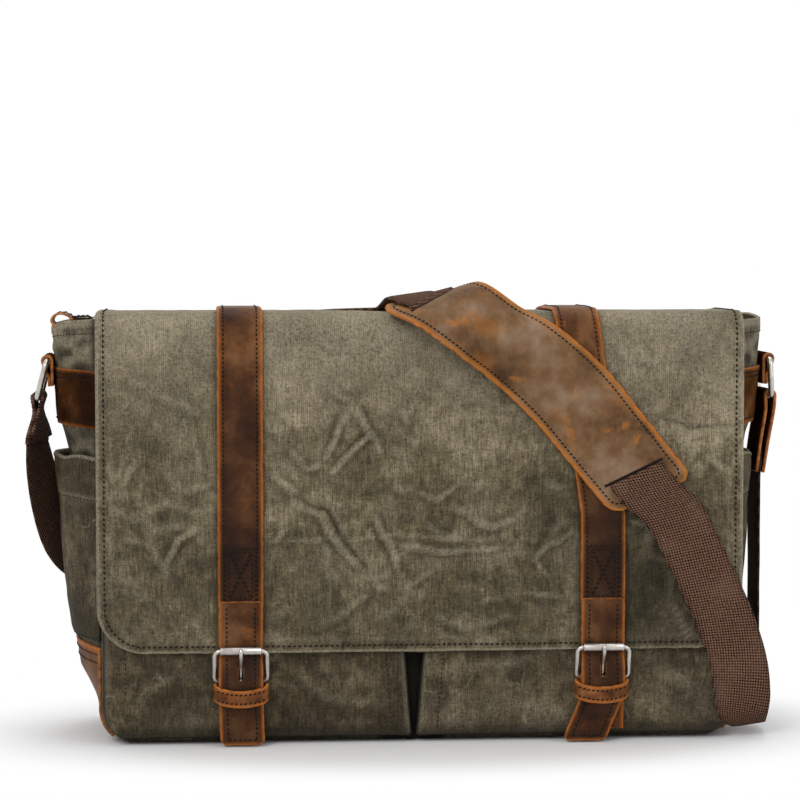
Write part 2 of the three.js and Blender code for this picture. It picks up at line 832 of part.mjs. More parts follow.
/** The rings at the sides with the leather tabs and strap ends on them. */
function buildRings() {
  for (const side of sides) {
    const { upper, lower } = ringBars(side);
    const high = new THREE.Vector3(upper[0], sideMiddle, upper[1]);
    const low = new THREE.Vector3(lower[0], sideMiddle, lower[1]);
    const acrossRing = new THREE.Vector3(0, 1, 0);
    const reach = ringInnerWidth / 2 + ringWireRadius;
    const ring = wireLoop(low, high, reach, acrossRing, ringWireRadius, ringCorner);
    piece(`ring_${side.name}`, ring, nickelFinish);
    const bandFace = sideAt(side, sideMiddle, ringTabLow) + gap + thinLeatherThick;
    const tabFoot = side.sign * (bandFace + thinLeatherThick + gap);
    const tab = loopEnd(...upper, tabFoot, ringTabLow, ringTabWidth, thinLeatherThick);
    piece(`ring_tab_${side.name}`, shown(tab), leatherEdgeFinish);
  }
}

/** The zip: two panels that hang open, the tail with its tab, the slider and its pull. */
function buildZip() {
  const frontAxis = gussetFront + liningThick + gap + zipPanelThick / 2;
  const backAxis = gussetBack - liningThick - gap - zipPanelThick / 2;
  const chain = (frontAxis + backAxis) / 2;
  const drop = (backAxis - frontAxis) / 2 - zipChainHalfGap;
  const low = zipHeight - zipPanelThick / 2;
  const high = zipHeight + zipPanelThick / 2;
  for (const [name, y] of [['front', frontAxis], ['back', backAxis]]) {
    const panel = block(
      [-zipHalfLength, y - zipPanelThick / 2, zipHeight - drop],
      [zipHalfLength, y + zipPanelThick / 2, high],
    );
    piece(`zip_panel_${name}`, panel, zipFinish);
  }
  const tailEnd = -zipHalfLength - gap - zipTailLength;
  const tail = block(
    [tailEnd, chain - zipTailWidth / 2, low],
    [-zipHalfLength - gap, chain + zipTailWidth / 2, high],
  );
  piece('zip_tail', tail, zipFinish);

  const tabHigh = high + gap + tailTabWall;
  const tabLow = gussetTop + gap;
  const tabStart = tailEnd + tailTabLength / 2;
  const reach = tailTabWidth / 2;
  const tab = block([tabStart - tailTabLength, chain - reach, tabLow], [tabStart, chain + reach, tabHigh]);
  const slot = block(
    [tailEnd - gap, chain - reach - overrun, low - gap],
    [tabStart + overrun, chain + reach + overrun, high + gap],
  );
  piece('zip_tail_tab', shown(solid(tab).subtract(solid(slot))), leatherEdgeFinish);

  const plateLow = high + gap;
  const end = sliderRestX - sliderLength / 2;
  const plate = block(
    [end, chain - sliderWidth / 2, plateLow],
    [end + sliderLength, chain + sliderWidth / 2, plateLow + sliderPlate],
  );
  const pinX = end - pinReach;
  const pinZ = plateLow + sliderPlate + pinDrop;
  const lugs = [-1, 1].map((sign) => {
    const middle = chain + (sign * (lugRoom + lugThick)) / 2;
    return block(
      [pinX - pullEyeRadius, middle - lugThick / 2, plateLow],
      [end + pinReach, middle + lugThick / 2, pinZ + pullEyeRadius / 2],
    );
  });
  const pinHalf = (lugRoom + lugThick) / 2;
  const pin = rod([pinX, chain - pinHalf, pinZ], [pinX, chain + pinHalf, pinZ], pullPinRadius, 8);
  piece('zip_slider', shown(joined([plate, ...lugs, pin])), nickelFinish);

  const bore = pullPinRadius + gap;
  const width = lugRoom - 2 * gap;
  const eye = sleeve(pinX, chain, pinZ, width, pullEyeRadius, bore, 'y');
  const tongueOfPull = block(
    [pinX - pullLength, chain - width / 2, pinZ - pullThick / 2],
    [pinX - bore, chain + width / 2, pinZ + pullThick / 2],
  );
  piece('zip_pull', shown(joined([eye, tongueOfPull])), nickelFinish);
}

/** A point from shares of the half width, the half depth and the height. */
function place([xShare, yShare, zShare]) {
  return new THREE.Vector3(xShare * half, yShare * backFace, zShare * bodyHeight);
}

/** Rows of edge points from a table of shares: a middle point and the way across it. */
function route(tableShares, width) {
  const line = tableShares.map(([x, y, z, ax, ay, az]) => [place([x, y, z]), new THREE.Vector3(ax, ay, az)]);
  return edgeRows(line, width);
}

// Steps of a strap between two rows of its route
const stepsPerRow = 3;

// Routes of the shoulder strap: a middle point as shares of the body, then the way across
const leftRouteShares = [
  [-1.205, 0.15, 0.6, 0, 1, 0.06],
  [-1.19, 0.27, 0.5, 0.12, 0.94, 0.32],
  [-1.14, 0.58, 0.435, 0.28, 0.6, 0.75],
  [-1.065, 1.0, 0.4, 0.15, 0.14, 0.95],
  [-1.015, 1.045, 0.4, 0.04, 0.03, 1],
  [-0.97, 1.031, 0.4, 0, 0, 1],
];
const backRouteShares = [
  [-0.967, 1.031, 0.401, 0, 0, 1],
  [-0.85, 1.031, 0.425, -0.3, 0, 0.95],
  [-0.68, 1.031, 0.53, -0.66, 0, 0.75],
  [-0.52, 1.031, 0.73, -0.85, 0, 0.52],
  [-0.402, 1.031, 0.93, -0.97, 0, 0.25],
];
const topRouteShares = [
  [-0.4015, 1.031, 0.9325, -0.97, 0, 0.25],
  [-0.397, 1.033, 0.98, -1, 0, 0.1],
  [-0.391, 1.033, 1.004, -1, -0.05, 0],
  [-0.382, 0.97, 1.0075, -1, -0.2, 0],
  [-0.34, 0.8, 1.0062, -0.88, -0.47, 0],
  [-0.2, 0.35, 1.0062, -0.74, -0.67, 0],
  [-0.08, -0.2, 1.0075, -0.74, -0.66, 0],
  [-0.03, -0.63, 1.0235, -0.8, -0.57, -0.1],
];
const padRouteShares = [
  [-0.02, -0.7, 1.02, -0.8, -0.57, -0.12],
  [0.08, -1.055, 1.014, -0.76, -0.4, -0.42],
  [0.2, -1.06, 0.957, -0.8, -0.06, -0.56],
  [0.3, -1.05, 0.913, -0.87, 0, -0.48],
  [0.452, -1.046, 0.8145, -0.865, 0, -0.5],
  [0.571, -1.046, 0.7085, -0.89, 0, -0.45],
  [0.693, -1.046, 0.6025, -0.904, 0, -0.427],
];
const frontRouteShares = [
  [0.6942, -1.105, 0.6007, -0.904, 0, -0.427],
  [0.785, -1.085, 0.531, -0.88, 0, -0.47],
  [0.883, -1.074, 0.389, -0.91, 0, -0.41],
  [0.948, -1.074, 0.267, -0.95, 0, -0.31],
  [0.981, -1.074, 0.175, -0.97, 0, -0.23],
];
const foldRouteShares = [
  [0.9815, -1.074, 0.1737, -0.97, 0, -0.23],
  [0.996, -1.05, 0.1, -0.97, -0.1, -0.14],
  [1.01, -0.93, 0.045, -0.9, -0.42, 0.06],
  [1.05, -0.72, 0.026, -0.7, -0.7, 0.03],
  [1.083, -0.46, 0.045, -0.35, -0.93, 0.03],
  [1.09, -0.28, 0.16, -0.08, -0.99, 0.05],
  [1.103, -0.05, 0.38, -0.03, -1, 0.02],
  [1.117, 0.11, 0.56, 0, -1, 0],
];

/** The strap end that hangs from a side's ring, and the row where the webbing goes on below it. */
function strapEnd(side, length, thickness, reachOut, way) {
  const { lower } = ringBars(side);
  const foot = [lower[0] + side.sign * reachOut, lower[1] - length];
  const start = new THREE.Vector3(foot[0], sideMiddle, foot[1] - gap);
  const reach = new THREE.Vector3(0, (way * webbingWidth) / 2, 0);
  const row = [start.clone().sub(reach), start.clone().add(reach)];
  return { end: loopEnd(...lower, ...foot, webbingWidth, thickness), row };
}

/** The shoulder strap: strap ends on the rings, five lengths of webbing and the pad. */
function buildShoulderStrap() {
  const [left, right] = sides;
  const leftEnd = strapEnd(left, webbingEndLength, webbingThick, leftFootReach, 1);
  const rightEnd = strapEnd(right, leatherEndLength, leatherThick, rightFootReach, -1);
  piece('webbing_loop_left', shown(leftEnd.end), webbingFinish);
  piece('strap_end_right', shown(rightEnd.end), leatherFinish);

  const lengths = [
    ['webbing_left', [leftEnd.row, ...route(leftRouteShares, webbingWidth)]],
    ['webbing_back', route(backRouteShares, webbingWidth)],
    ['webbing_top', route(topRouteShares, webbingWidth)],
    ['webbing_front', route(frontRouteShares, webbingWidth)],
    ['webbing_fold', [...route(foldRouteShares, webbingWidth), rightEnd.row]],
  ];
  for (const [name, rows] of lengths) {
    piece(name, ribbon(rows, webbingThick, stepsPerRow * rows.length), webbingFinish);
  }
  const rows = route(padRouteShares, padWidth);
  const steps = stepsPerRow * rows.length;
  piece('shoulder_pad', liftedRibbon(rows, padThick, padLift, steps), leatherFinish);
  const under = padLift - padThick / 2 - gap - padLiningThick / 2;
  piece('shoulder_pad_lining', liftedRibbon(rows, padLiningThick, under, steps), canvasDarkFinish);
}

buildPanels();
buildBottom();
buildSides();
buildLining();
buildDivider();
buildFrontPockets();
buildFlap();
buildStraps();
buildClosures();
buildRings();
buildZip();
buildShoulderStrap();

export default bag;
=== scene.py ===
"""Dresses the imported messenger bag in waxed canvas, oiled leather, webbing and satin nickel."""

import logging
import math
from collections.abc import Iterable, Sequence
from dataclasses import dataclass, field
from enum import Enum
from typing import ClassVar

import bpy
import numpy as np
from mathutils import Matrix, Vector, noise


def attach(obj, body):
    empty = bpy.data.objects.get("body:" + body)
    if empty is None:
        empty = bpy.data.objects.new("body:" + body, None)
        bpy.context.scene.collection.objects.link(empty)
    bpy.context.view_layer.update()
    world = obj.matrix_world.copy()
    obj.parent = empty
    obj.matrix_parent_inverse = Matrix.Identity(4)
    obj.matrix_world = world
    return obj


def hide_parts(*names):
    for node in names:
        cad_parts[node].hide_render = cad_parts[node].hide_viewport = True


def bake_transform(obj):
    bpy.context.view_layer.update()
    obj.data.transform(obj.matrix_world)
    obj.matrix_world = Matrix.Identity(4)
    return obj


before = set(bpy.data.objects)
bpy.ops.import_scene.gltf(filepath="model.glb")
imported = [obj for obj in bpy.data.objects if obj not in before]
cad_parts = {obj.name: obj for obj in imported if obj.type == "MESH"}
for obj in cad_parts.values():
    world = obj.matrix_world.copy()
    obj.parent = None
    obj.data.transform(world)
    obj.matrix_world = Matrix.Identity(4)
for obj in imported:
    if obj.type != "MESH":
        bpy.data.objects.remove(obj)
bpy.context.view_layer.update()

log = logging.getLogger("bag")

Array = np.ndarray
Socket = bpy.types.NodeSocket

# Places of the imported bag, in millimetres
MM = 0.001
HALF = 210.0
CORNER = 22.0
GUSSET_FRONT = -41.9
GUSSET_BACK = 57.7
SIDE_MIDDLE = (GUSSET_FRONT + GUSSET_BACK) / 2
SIDE_DEPTH = GUSSET_BACK - GUSSET_FRONT
GUSSET_TOP = 271.5
FRONT_WALL = -43.2
BACK_WALL = 59.0
STRAP_X = 119.0
WEBBING_WIDTH = 38.0

WHITE = (1.0, 1.0, 1.0, 1.0)


class Side(Enum):
    """The two ends of the bag, and the way out of each along X."""

    LEFT = -1
    RIGHT = 1

    def named(self, word: str) -> str:
        """The name of this side's piece or node."""
        return f"{word}_{self.name.lower()}"


def srgb(*screen: int) -> tuple[float, float, float, float]:
    """A colour as seen on a screen, from 0 to 255, as linear light with a full alpha."""
    shares = [value / 255 for value in screen]
    return (*(s / 12.92 if s <= 0.04045 else ((s + 0.055) / 1.055) ** 2.4 for s in shares), 1.0)


class NodePad:
    """Short calls for wiring the nodes of one material or world."""

    def __init__(self, owner: bpy.types.Material | bpy.types.World) -> None:
        """Empties the owner's nodes.

        Args:
            owner: The material or world.
        """
        self.owner = owner
        owner.use_nodes = True
        self.nodes, self.links = owner.node_tree.nodes, owner.node_tree.links
        self.nodes.clear()

    def add(self, kind: str, output: str | int = 0, **given: object) -> Socket | None:
        """Adds a node.

        Args:
            kind: Blender's name of it, after ShaderNode.
            output: The output to return.
            given: Its settings, in small letters, and its inputs: names with underscores for spaces,
                or numbers after an underscore, each with a socket to link or a constant.

        Returns:
            The output, or none where the node has none.
        """
        node = self.nodes.new("ShaderNode" + kind)
        for name, value in given.items():
            if name[0].islower():
                setattr(node, name, value)
        for name, value in given.items():
            if name[0].islower():
                continue
            socket = node.inputs[int(name[1:]) if name[0] == "_" else name.replace("_", " ")]
            if isinstance(value, Socket):
                self.links.new(value, socket)
            else:
                socket.default_value = value
        return node.outputs[output] if node.outputs else None

    def maths(self, operation: str, *values: Socket | float, clamp: bool = False) -> Socket:
        """One step of arithmetic, by Blender's name of it; clamp keeps the result from 0 to 1."""
        return self.add("Math", operation=operation, use_clamp=clamp, **{f"_{i}": v for i, v in enumerate(values)})

    def mixed(self, *parts: tuple[Socket, float]) -> Socket:
        """Adds values up, each times its share.

        Args:
            parts: The values and their shares.

        Returns:
            The sum.
        """
        total = self.maths("MULTIPLY", *parts[0])
        for value, share in parts[1:]:
            total = self.maths("MULTIPLY_ADD", value, share, total)
        return total

    def seen(self) -> Socket:
        """One where the eye looks, straight on, in a mirror or through glass, and otherwise nothing."""
        total = self.add("LightPath", "Is Camera Ray")
        rays = total.node.outputs
        for name in ("Is Glossy Ray", "Is Transmission Ray"):
            total = self.maths("MAXIMUM", total, rays[name])
        return total

    def place(self) -> Socket:
        """The place on the piece, in metres."""
        return self.add("TexCoord", "Object")

    def split(self, vector: Socket) -> tuple[Socket, Socket]:
        """The first two parts of a vector."""
        return tuple(self.add("SeparateXYZ", Vector=vector).node.outputs[:2])

    def mark(self, name: str, output: str = "Fac") -> Socket:
        """One of the marks that the mesh carries, as a number or with Vector as a place."""
        return self.add("Attribute", output, attribute_name=name)

    def stretched(self, vector: Socket, scale: Sequence[float], turn: float = 0.0) -> Socket:
        """A place that is scaled along each axis, and turned about Z by radians."""
        return self.add("Mapping", Vector=vector, Rotation=(0, 0, turn), Scale=scale)

    def noise(self, vector: Socket, size: float, detail: float = 3.0, rough: float = 0.5) -> Socket:
        """Soft noise about 0.5, with patches of a size, in the place's units."""
        return self.add("TexNoise", "Fac", Vector=vector, Scale=1 / size, Detail=detail, Roughness=rough)

    def bent(self, vector: Socket, size: float, reach: float) -> Socket:
        """A place that waves of a size push about, so that what is drawn from it wanders."""
        waves = self.add("TexNoise", "Color", Vector=vector, Scale=1 / size)
        return self.add("VectorMath", operation="MULTIPLY_ADD", _0=waves, _1=(reach, reach, reach), _2=vector)

    def cells(self, vector: Socket, size: float) -> Socket:
        """The distance to the edge of cells of a size, as in leather grain."""
        return self.add("TexVoronoi", "Distance", feature="DISTANCE_TO_EDGE", Vector=vector, Scale=1 / size)

    def between(self, value: Socket, low: float, high: float) -> Socket:
        """A soft share, from 0 at low to 1 at high."""
        return self.add("MapRange", "Result", interpolation_type="SMOOTHSTEP", Value=value, From_Min=low, From_Max=high)

    def blend(self, share: Socket | float, low: object, high: object, way: str = "MIX") -> Socket:
        """A share of the second colour over the first, in Blender's way of mixing."""
        return self.add("Mix", "Result", data_type="RGBA", blend_type=way, Factor=share, A=low, B=high)

    def ramp(self, value: Socket, *stops: tuple[float, tuple]) -> Socket:
        """Turns a value into a colour.

        Args:
            value: The value.
            stops: Places from 0 to 1 and the colour at each.

        Returns:
            The colour.
        """
        colour = self.add("ValToRGB", "Color", Fac=value)
        elements = colour.node.color_ramp.elements
        while len(elements) < len(stops):
            elements.new(1.0)
        for element, (at, tone) in zip(elements, stops):
            element.position, element.color = at, tone
        return colour

    def bump(self, height: Socket, distance: float, strength: float, **under: Socket) -> Socket:
        """The normal bent by a relief of so many metres, over the one under it."""
        return self.add("Bump", "Normal", Strength=strength, Distance=distance, Height=height, **under)

    def finish(self, colour: object, rough: object, **inputs: object) -> None:
        """Ends the material with a shader of a colour, a roughness and other inputs."""
        shader = self.add("BsdfPrincipled", Base_Color=colour, Roughness=rough, **inputs)
        self.add("OutputMaterial", Surface=shader)


@dataclass(frozen=True)
class Finish:
    """A finish that makes its material once."""

    made: ClassVar[dict["Finish", bpy.types.Material]] = {}
    name: str

    def material(self) -> bpy.types.Material:
        """The finish's material."""
        if self not in Finish.made:
            pad = NodePad(bpy.data.materials.new(self.name))
            self.wire(pad)
            Finish.made[self] = pad.owner
        return Finish.made[self]

    def wire(self, pad: NodePad) -> None:
        """Wires the empty material; each finish has its own way."""
        raise NotImplementedError


@dataclass(frozen=True)
class WaxedCanvas(Finish):
    """Waxed cotton canvas: mottled, with pale broken creases and a fine upright weave."""

    dark: tuple
    middle: tuple
    light: tuple
    chalk: tuple = srgb(164, 154, 132)
    thread: float = 0.0014
    cord: float = 0.00135
    crackle: float = 1.0

    def wire(self, pad: NodePad) -> None:
        """Wires mottling, crackle, worn marks with the flap's painted top light, painted shade and the weave.

        Args:
            pad: The empty material.
        """
        place, cloth = pad.place(), pad.mark("flat", "Vector")
        patches = pad.noise(place, 0.009, 4, 0.65)
        tone = pad.mixed((pad.noise(place, 0.06, 4, 0.6), 0.55), (patches, 0.45))
        colour = pad.ramp(tone, (0.36, self.dark), (0.5, self.middle), (0.66, self.light))

        warp = pad.noise(pad.stretched(cloth, (1 / self.thread, 1 / 0.012, 1)), 1.0, 2)
        weft = pad.noise(pad.stretched(cloth, (1 / 0.006, 1 / self.thread, 1)), 1.0, 2)
        grain = pad.noise(place, 0.0015, 3, 0.7)
        threads = pad.mixed((warp, 0.38), (weft, 0.2), (grain, 0.42))
        grey = pad.ramp(threads, (0.37, (0.25, 0.25, 0.25, 1)), (0.63, (1.8, 1.8, 1.8, 1)))
        colour = pad.blend(0.85, colour, grey, "MULTIPLY")

        line = pad.maths("SUBTRACT", 1.0, pad.between(pad.cells(pad.bent(place, 0.03, 0.03), 0.055), 0.0, 0.03))
        where = pad.between(pad.noise(place, 0.045, 2), 0.5, 0.66)
        broken = pad.between(pad.noise(place, 0.005, 2), 0.36, 0.7)
        crackle = pad.maths("MULTIPLY", pad.maths("MULTIPLY", line, where), broken)
        smudge = pad.between(pad.noise(pad.bent(place, 0.02, 0.02), 0.07, 3), 0.5, 0.78)
        veins = pad.maths("ADD", crackle, pad.maths("MULTIPLY", smudge, 0.45))
        worn = pad.maths("MULTIPLY_ADD", pad.between(grain, 0.3, 0.7), 0.65, 0.3)
        # The wear mark is chalky wear, and on the flap also painted top light
        marks = pad.maths("ADD", pad.maths("MULTIPLY", veins, 0.5 * self.crackle), pad.mark("wear"))
        colour = pad.blend(pad.maths("MULTIPLY", marks, worn, clamp=True), colour, self.chalk)
        # Painted shade: the shade mark darkens the cloth towards a fifth of its dark tone
        colour = pad.blend(pad.mark("shade"), colour, (*(0.2 * c for c in self.dark[:3]), 1))

        step = 2 * math.pi / self.cord
        across, along = pad.split(cloth)
        ribs = pad.maths("SINE", pad.maths("MULTIPLY_ADD", across, step, pad.maths("MULTIPLY", patches, 5.0)))
        picks = pad.maths("SINE", pad.maths("MULTIPLY", along, step))
        weave = pad.mixed((ribs, 0.22), (picks, 0.05))
        cord = pad.maths("MULTIPLY_ADD", weave, 0.6, 1.0)
        colour = pad.blend(0.9, colour, pad.add("CombineXYZ", X=cord, Y=cord, Z=cord), "MULTIPLY")
        normal = pad.bump(pad.maths("ADD", weave, threads), 0.00032, 0.75, Normal=pad.bump(veins, 0.0012, 0.55))
        pad.finish(colour, pad.maths("MULTIPLY_ADD", patches, 0.3, 0.62), Normal=normal, Specular_IOR_Level=0.16)


@dataclass(frozen=True)
class OiledLeather(Finish):
    """Pull-up leather: brown in the middle, orange where it is bent or rubbed, with light scratches."""

    dark: tuple = srgb(44, 24, 11)
    middle: tuple = srgb(84, 51, 27)
    light: tuple = srgb(124, 86, 54)
    rubbed: tuple = srgb(172, 96, 32)
    patch: float = 0.03
    pull: float = 0.42
    shine: float = 0.1

    def wire(self, pad: NodePad) -> None:
        """Wires patches, rubbed places, scratches, painted shade with some of the leather's own darker tone, and the
        grain.

        Args:
            pad: The empty material.
        """
        place = pad.place()
        clouds = pad.noise(place, self.patch, 5, 0.62)
        colour = pad.ramp(clouds, (0.33, self.dark), (0.5, self.middle), (0.69, self.light))
        pull = pad.between(pad.noise(pad.bent(place, 0.02, 0.02), 0.014, 5, 0.7), 0.54, 0.74)
        fibre = pad.maths("ADD", 0.35, pad.noise(place, 0.006, 3))
        edge = pad.maths("MULTIPLY", pad.mark("wear"), fibre, clamp=True)
        rubbed = pad.maths("ADD", pad.maths("MULTIPLY", pull, self.pull), edge, clamp=True)
        colour = pad.blend(rubbed, colour, self.rubbed)

        streak = pad.noise(pad.stretched(place, (1 / 0.0012, 1 / 0.02, 1 / 0.03), 0.7), 1.0, 2)
        scratch = pad.between(streak, 0.7, 0.76)
        colour = pad.blend(pad.maths("MULTIPLY", scratch, 0.3), colour, self.light)
        # Painted shade from the shade mark, which also carries some of the leather's own darker tone
        colour = pad.blend(pad.mark("shade"), colour, srgb(30, 17, 12))

        grain = pad.maths("MULTIPLY_ADD", pad.cells(place, 0.0011), 1.2, pad.noise(place, 0.0005, 2))
        creases = pad.bump(pad.noise(place, 0.006, 4, 0.6), 0.0006, 0.5)
        rough = pad.maths("MULTIPLY_ADD", clouds, 0.3, 0.36)
        pad.finish(colour, rough, Normal=pad.bump(grain, 0.00012, 0.5, Normal=creases), Specular_IOR_Level=self.shine)


@dataclass(frozen=True)
class RawEdge(Finish):
    """The cut and waxed edge of leather, orange and a little fibrous."""

    dark: tuple = srgb(118, 64, 26)
    light: tuple = srgb(196, 122, 58)

    def wire(self, pad: NodePad) -> None:
        """Wires its mottled colour and fibres.

        Args:
            pad: The empty material.
        """
        place = pad.place()
        colour = pad.ramp(pad.noise(place, 0.004, 4, 0.6), (0.34, self.dark), (0.66, self.light))
        # Painted shade from the shade mark
        colour = pad.blend(pad.mark("shade"), colour, srgb(48, 26, 14))
        fibres = pad.bump(pad.noise(place, 0.0007, 3), 0.00025, 0.6)
        pad.finish(colour, 0.58, Normal=fibres, Specular_IOR_Level=0.35)


@dataclass(frozen=True)
class Webbing(Finish):
    """Woven cotton webbing with diagonal ribs."""

    dark: tuple = srgb(30, 19, 12)
    light: tuple = srgb(134, 100, 82)
    rib: float = 0.0037

    def wire(self, pad: NodePad) -> None:
        """Wires the ribs, the yarns and a little wear.

        Args:
            pad: The empty material.
        """
        cloth = pad.mark("flat", "Vector")
        x, y = pad.split(pad.bent(cloth, 0.004, 0.0007))
        step = 2 * math.pi / self.rib
        over, under = (pad.maths("SINE", pad.mixed((x, across * step), (y, along * step)))
                       for across, along in ((1.25, 0.8), (0.75, -1.15)))
        yarn = pad.noise(pad.stretched(cloth, (1 / 0.0005, 1 / 0.003, 1)), 1.0, 2)
        height = pad.mixed((pad.maths("MULTIPLY", over, under), 0.42), (yarn, 0.85))
        colour = pad.ramp(height, (0.18, self.dark), (0.8, self.light))
        worn = pad.between(pad.noise(pad.place(), 0.03, 3), 0.45, 0.75)
        colour = pad.blend(pad.maths("MULTIPLY", worn, 0.18), colour, srgb(138, 112, 94))
        # Painted shade from the shade mark
        colour = pad.blend(pad.mark("shade"), colour, srgb(16, 11, 9))
        pad.finish(colour, 0.85, Normal=pad.bump(height, 0.0007, 0.9), Specular_IOR_Level=0.04)


@dataclass(frozen=True)
class SatinNickel(Finish):
    """Satin nickel with the fine marks of tumbling."""

    tone: tuple = srgb(196, 192, 186)

    def wire(self, pad: NodePad) -> None:
        """Wires its tone and fine marks.

        Args:
            pad: The empty material.
        """
        place = pad.place()
        dull = pad.noise(place, 0.006, 3)
        colour = pad.blend(pad.between(dull, 0.3, 0.8), self.tone, srgb(160, 154, 146))
        marks = pad.bump(pad.noise(place, 0.0008, 3), 0.00004, 0.4)
        pad.finish(colour, pad.maths("MULTIPLY_ADD", dull, 0.22, 0.2), Normal=marks, Metallic=1.0)


@dataclass(frozen=True)
class PlainCloth(Finish):
    """Plain woven cloth or tape, for the lining, the zip tape and the thread."""

    dark: tuple
    light: tuple
    thread: float = 0.0006

    def wire(self, pad: NodePad) -> None:
        """Wires the weave and faint clouds.

        Args:
            pad: The empty material.
        """
        place = pad.place()
        fine = pad.noise(place, self.thread, 2)
        tone = pad.mixed((fine, 0.55), (pad.noise(place, 0.03, 3), 0.45))
        colour = pad.ramp(tone, (0.34, self.dark), (0.66, self.light))
        # Painted shade from the shade mark
        colour = pad.blend(pad.mark("shade"), colour, (*(0.4 * c for c in self.dark[:3]), 1))
        pad.finish(colour, 0.86, Normal=pad.bump(fine, 0.0002, 0.6), Specular_IOR_Level=0.2)


CANVAS = WaxedCanvas("waxed_canvas", srgb(56, 49, 34), srgb(94, 84, 63), srgb(138, 127, 104))
# A darker copy of the canvas for the pockets low on the bag: painted shade
SHADED_POCKET_CANVAS = WaxedCanvas("pocket_canvas", srgb(42, 36, 25), srgb(66, 57, 41), srgb(104, 93, 72))
BODY_CANVAS = WaxedCanvas("body_canvas", srgb(58, 53, 41), srgb(92, 84, 67), srgb(128, 118, 98))
BASE_CANVAS = WaxedCanvas("base_canvas", srgb(34, 30, 23), srgb(52, 46, 35), srgb(78, 70, 56), crackle=0.4)
LEATHER = OiledLeather("oiled_leather")
PAD_LEATHER = OiledLeather("pad_leather", srgb(70, 47, 28), srgb(112, 83, 56), srgb(142, 118, 97),
                           srgb(176, 108, 42), 0.032, 0.75)
TAB_LEATHER = OiledLeather("tab_leather", srgb(66, 37, 18), srgb(108, 65, 34), srgb(150, 98, 58),
                           srgb(182, 106, 44), 0.014)
MATT_LEATHER = OiledLeather("matt_leather", shine=0.0)
RAW_EDGE = RawEdge("raw_edge")
WEBBING = Webbing("woven_webbing")
NICKEL = SatinNickel("satin_nickel")
LINING = PlainCloth("cotton_lining", srgb(62, 54, 40), srgb(92, 82, 64))
ZIP_TAPE = PlainCloth("zip_tape", srgb(30, 27, 22), srgb(56, 50, 42))
ZIP_TEETH = SatinNickel("zip_teeth", srgb(150, 138, 112))
DARK_THREAD = PlainCloth("dark_thread", srgb(12, 8, 7), srgb(32, 22, 16), 0.0003)
CANVAS_THREAD = PlainCloth("canvas_thread", srgb(20, 17, 12), srgb(44, 37, 26), 0.0003)


def ripple(places: Array, size: float | Sequence[float], turn: float = 0.0) -> Array:
    """Smooth noise from -1 to 1 over places in millimetres, with waves of a size; each turn has its own pattern."""
    scaled = places.reshape(-1, 3) / np.broadcast_to(size, 3) + 17.3 * turn
    return np.array([noise.noise(Vector(p)) for p in scaled]).reshape(places.shape[:-1])


def spots(x: Array | float, y: Array | float, z: Array | float) -> Array:
    """Places from their three parts, spread over one grid."""
    return np.stack(np.broadcast_arrays(x, y, z), axis=-1).astype(float)


def smooth(value: Array | float, low: float, high: float) -> Array:
    """A soft step from 0 at low to 1 at high, which may be below low."""
    share = np.clip((value - low) / (high - low), 0, 1)
    return share * share * (3 - 2 * share)


def bell(value: Array, middle: float, reach: float) -> Array:
    """A soft bump, 1 at its middle."""
    return np.exp(-(((value - middle) / reach) ** 2))


def unit(vectors: Array) -> Array:
    """The same directions with length 1."""
    return vectors / np.maximum(np.linalg.norm(vectors, axis=-1, keepdims=True), 1e-9)


def distances(line: Array) -> Array:
    """The distance of each place along a line."""
    return np.concatenate([[0], np.cumsum(np.linalg.norm(np.diff(line, axis=0), axis=1))])


def read(at: Array, run: Array, values: Array) -> Array:
    """Values at distances along a line, column by column."""
    return np.stack([np.interp(at, run, column) for column in values.T], axis=1)


def depth_inside(x: Array, z: Array, low: Sequence[float], high: Sequence[float], radius: float) -> Array:
    """How far inside a rectangle with round corners places lie.

    Args:
        x: Places across.
        z: Places up.
        low: The rectangle's lower left corner.
        high: Its upper right corner.
        radius: The corners' radius.

    Returns:
        The distance to the outline, negative outside it.
    """
    dx, dz = (np.abs(v - (a + b) / 2) - (b - a) / 2 + radius for v, a, b in zip((x, z), low, high))
    outside = np.hypot(np.maximum(dx, 0), np.maximum(dz, 0)) + np.minimum(np.maximum(dx, dz), 0)
    return radius - outside


def relief(height: Array, reach: int = 3) -> tuple[Array, Array]:
    """Finds the ridges and the hollows of a height over a grid.

    Args:
        height: The height at each place, in millimetres.
        reach: How many places on each side count as the surroundings.

    Returns:
        The ridges and the hollows, each from 0 to 1.
    """
    kernel = np.full(2 * reach + 1, 1 / (2 * reach + 1))
    soft = height
    for axis in (0, 1):
        soft = np.apply_along_axis(
            lambda line: np.convolve(np.pad(line, reach, mode="edge"), kernel, "valid"), axis, soft)
    above = height - soft
    return np.clip(above / 0.5, 0, 1), np.clip(-above / 0.45, 0, 1)


@dataclass(frozen=True)
class Crease:
    """A soft ridge with a hollow beside it, along a line on a panel, in millimetres."""

    line: tuple[tuple[float, float], ...]
    height: float
    width: float
    chalk: float

    def on(self, a: Array, b: Array) -> tuple[Array, Array]:
        """Works out the crease over a panel.

        Args:
            a: Places across.
            b: Places up.

        Returns:
            The height and the chalky wear at each place.
        """
        ridge = hollow = fine = np.zeros_like(a)
        for part, ((ax, az), (bx, bz)) in enumerate(zip(self.line, self.line[1:])):
            dx, dz = bx - ax, bz - az
            length = math.hypot(dx, dz)
            along = ((a - ax) * dx + (b - az) * dz) / length**2
            aside = ((a - ax) * dz - (b - az) * dx) / length
            past = np.maximum(np.abs(along - 0.5) - 0.5, 0) * length
            share = (part + np.clip(along, 0, 1)) / (len(self.line) - 1)
            fade = bell(past, 0, self.width) * (0.3 + 0.7 * np.sin(np.pi * share) ** 0.7)
            ridge = np.maximum(ridge, bell(aside, 0, self.width) * fade)
            hollow = np.maximum(hollow, bell(aside, 1.9 * self.width, 1.5 * self.width) * fade)
            fine = np.maximum(fine, bell(aside, 0, 0.45 * self.width) * fade)
        return self.height * (ridge - 0.4 * hollow), self.chalk * fine


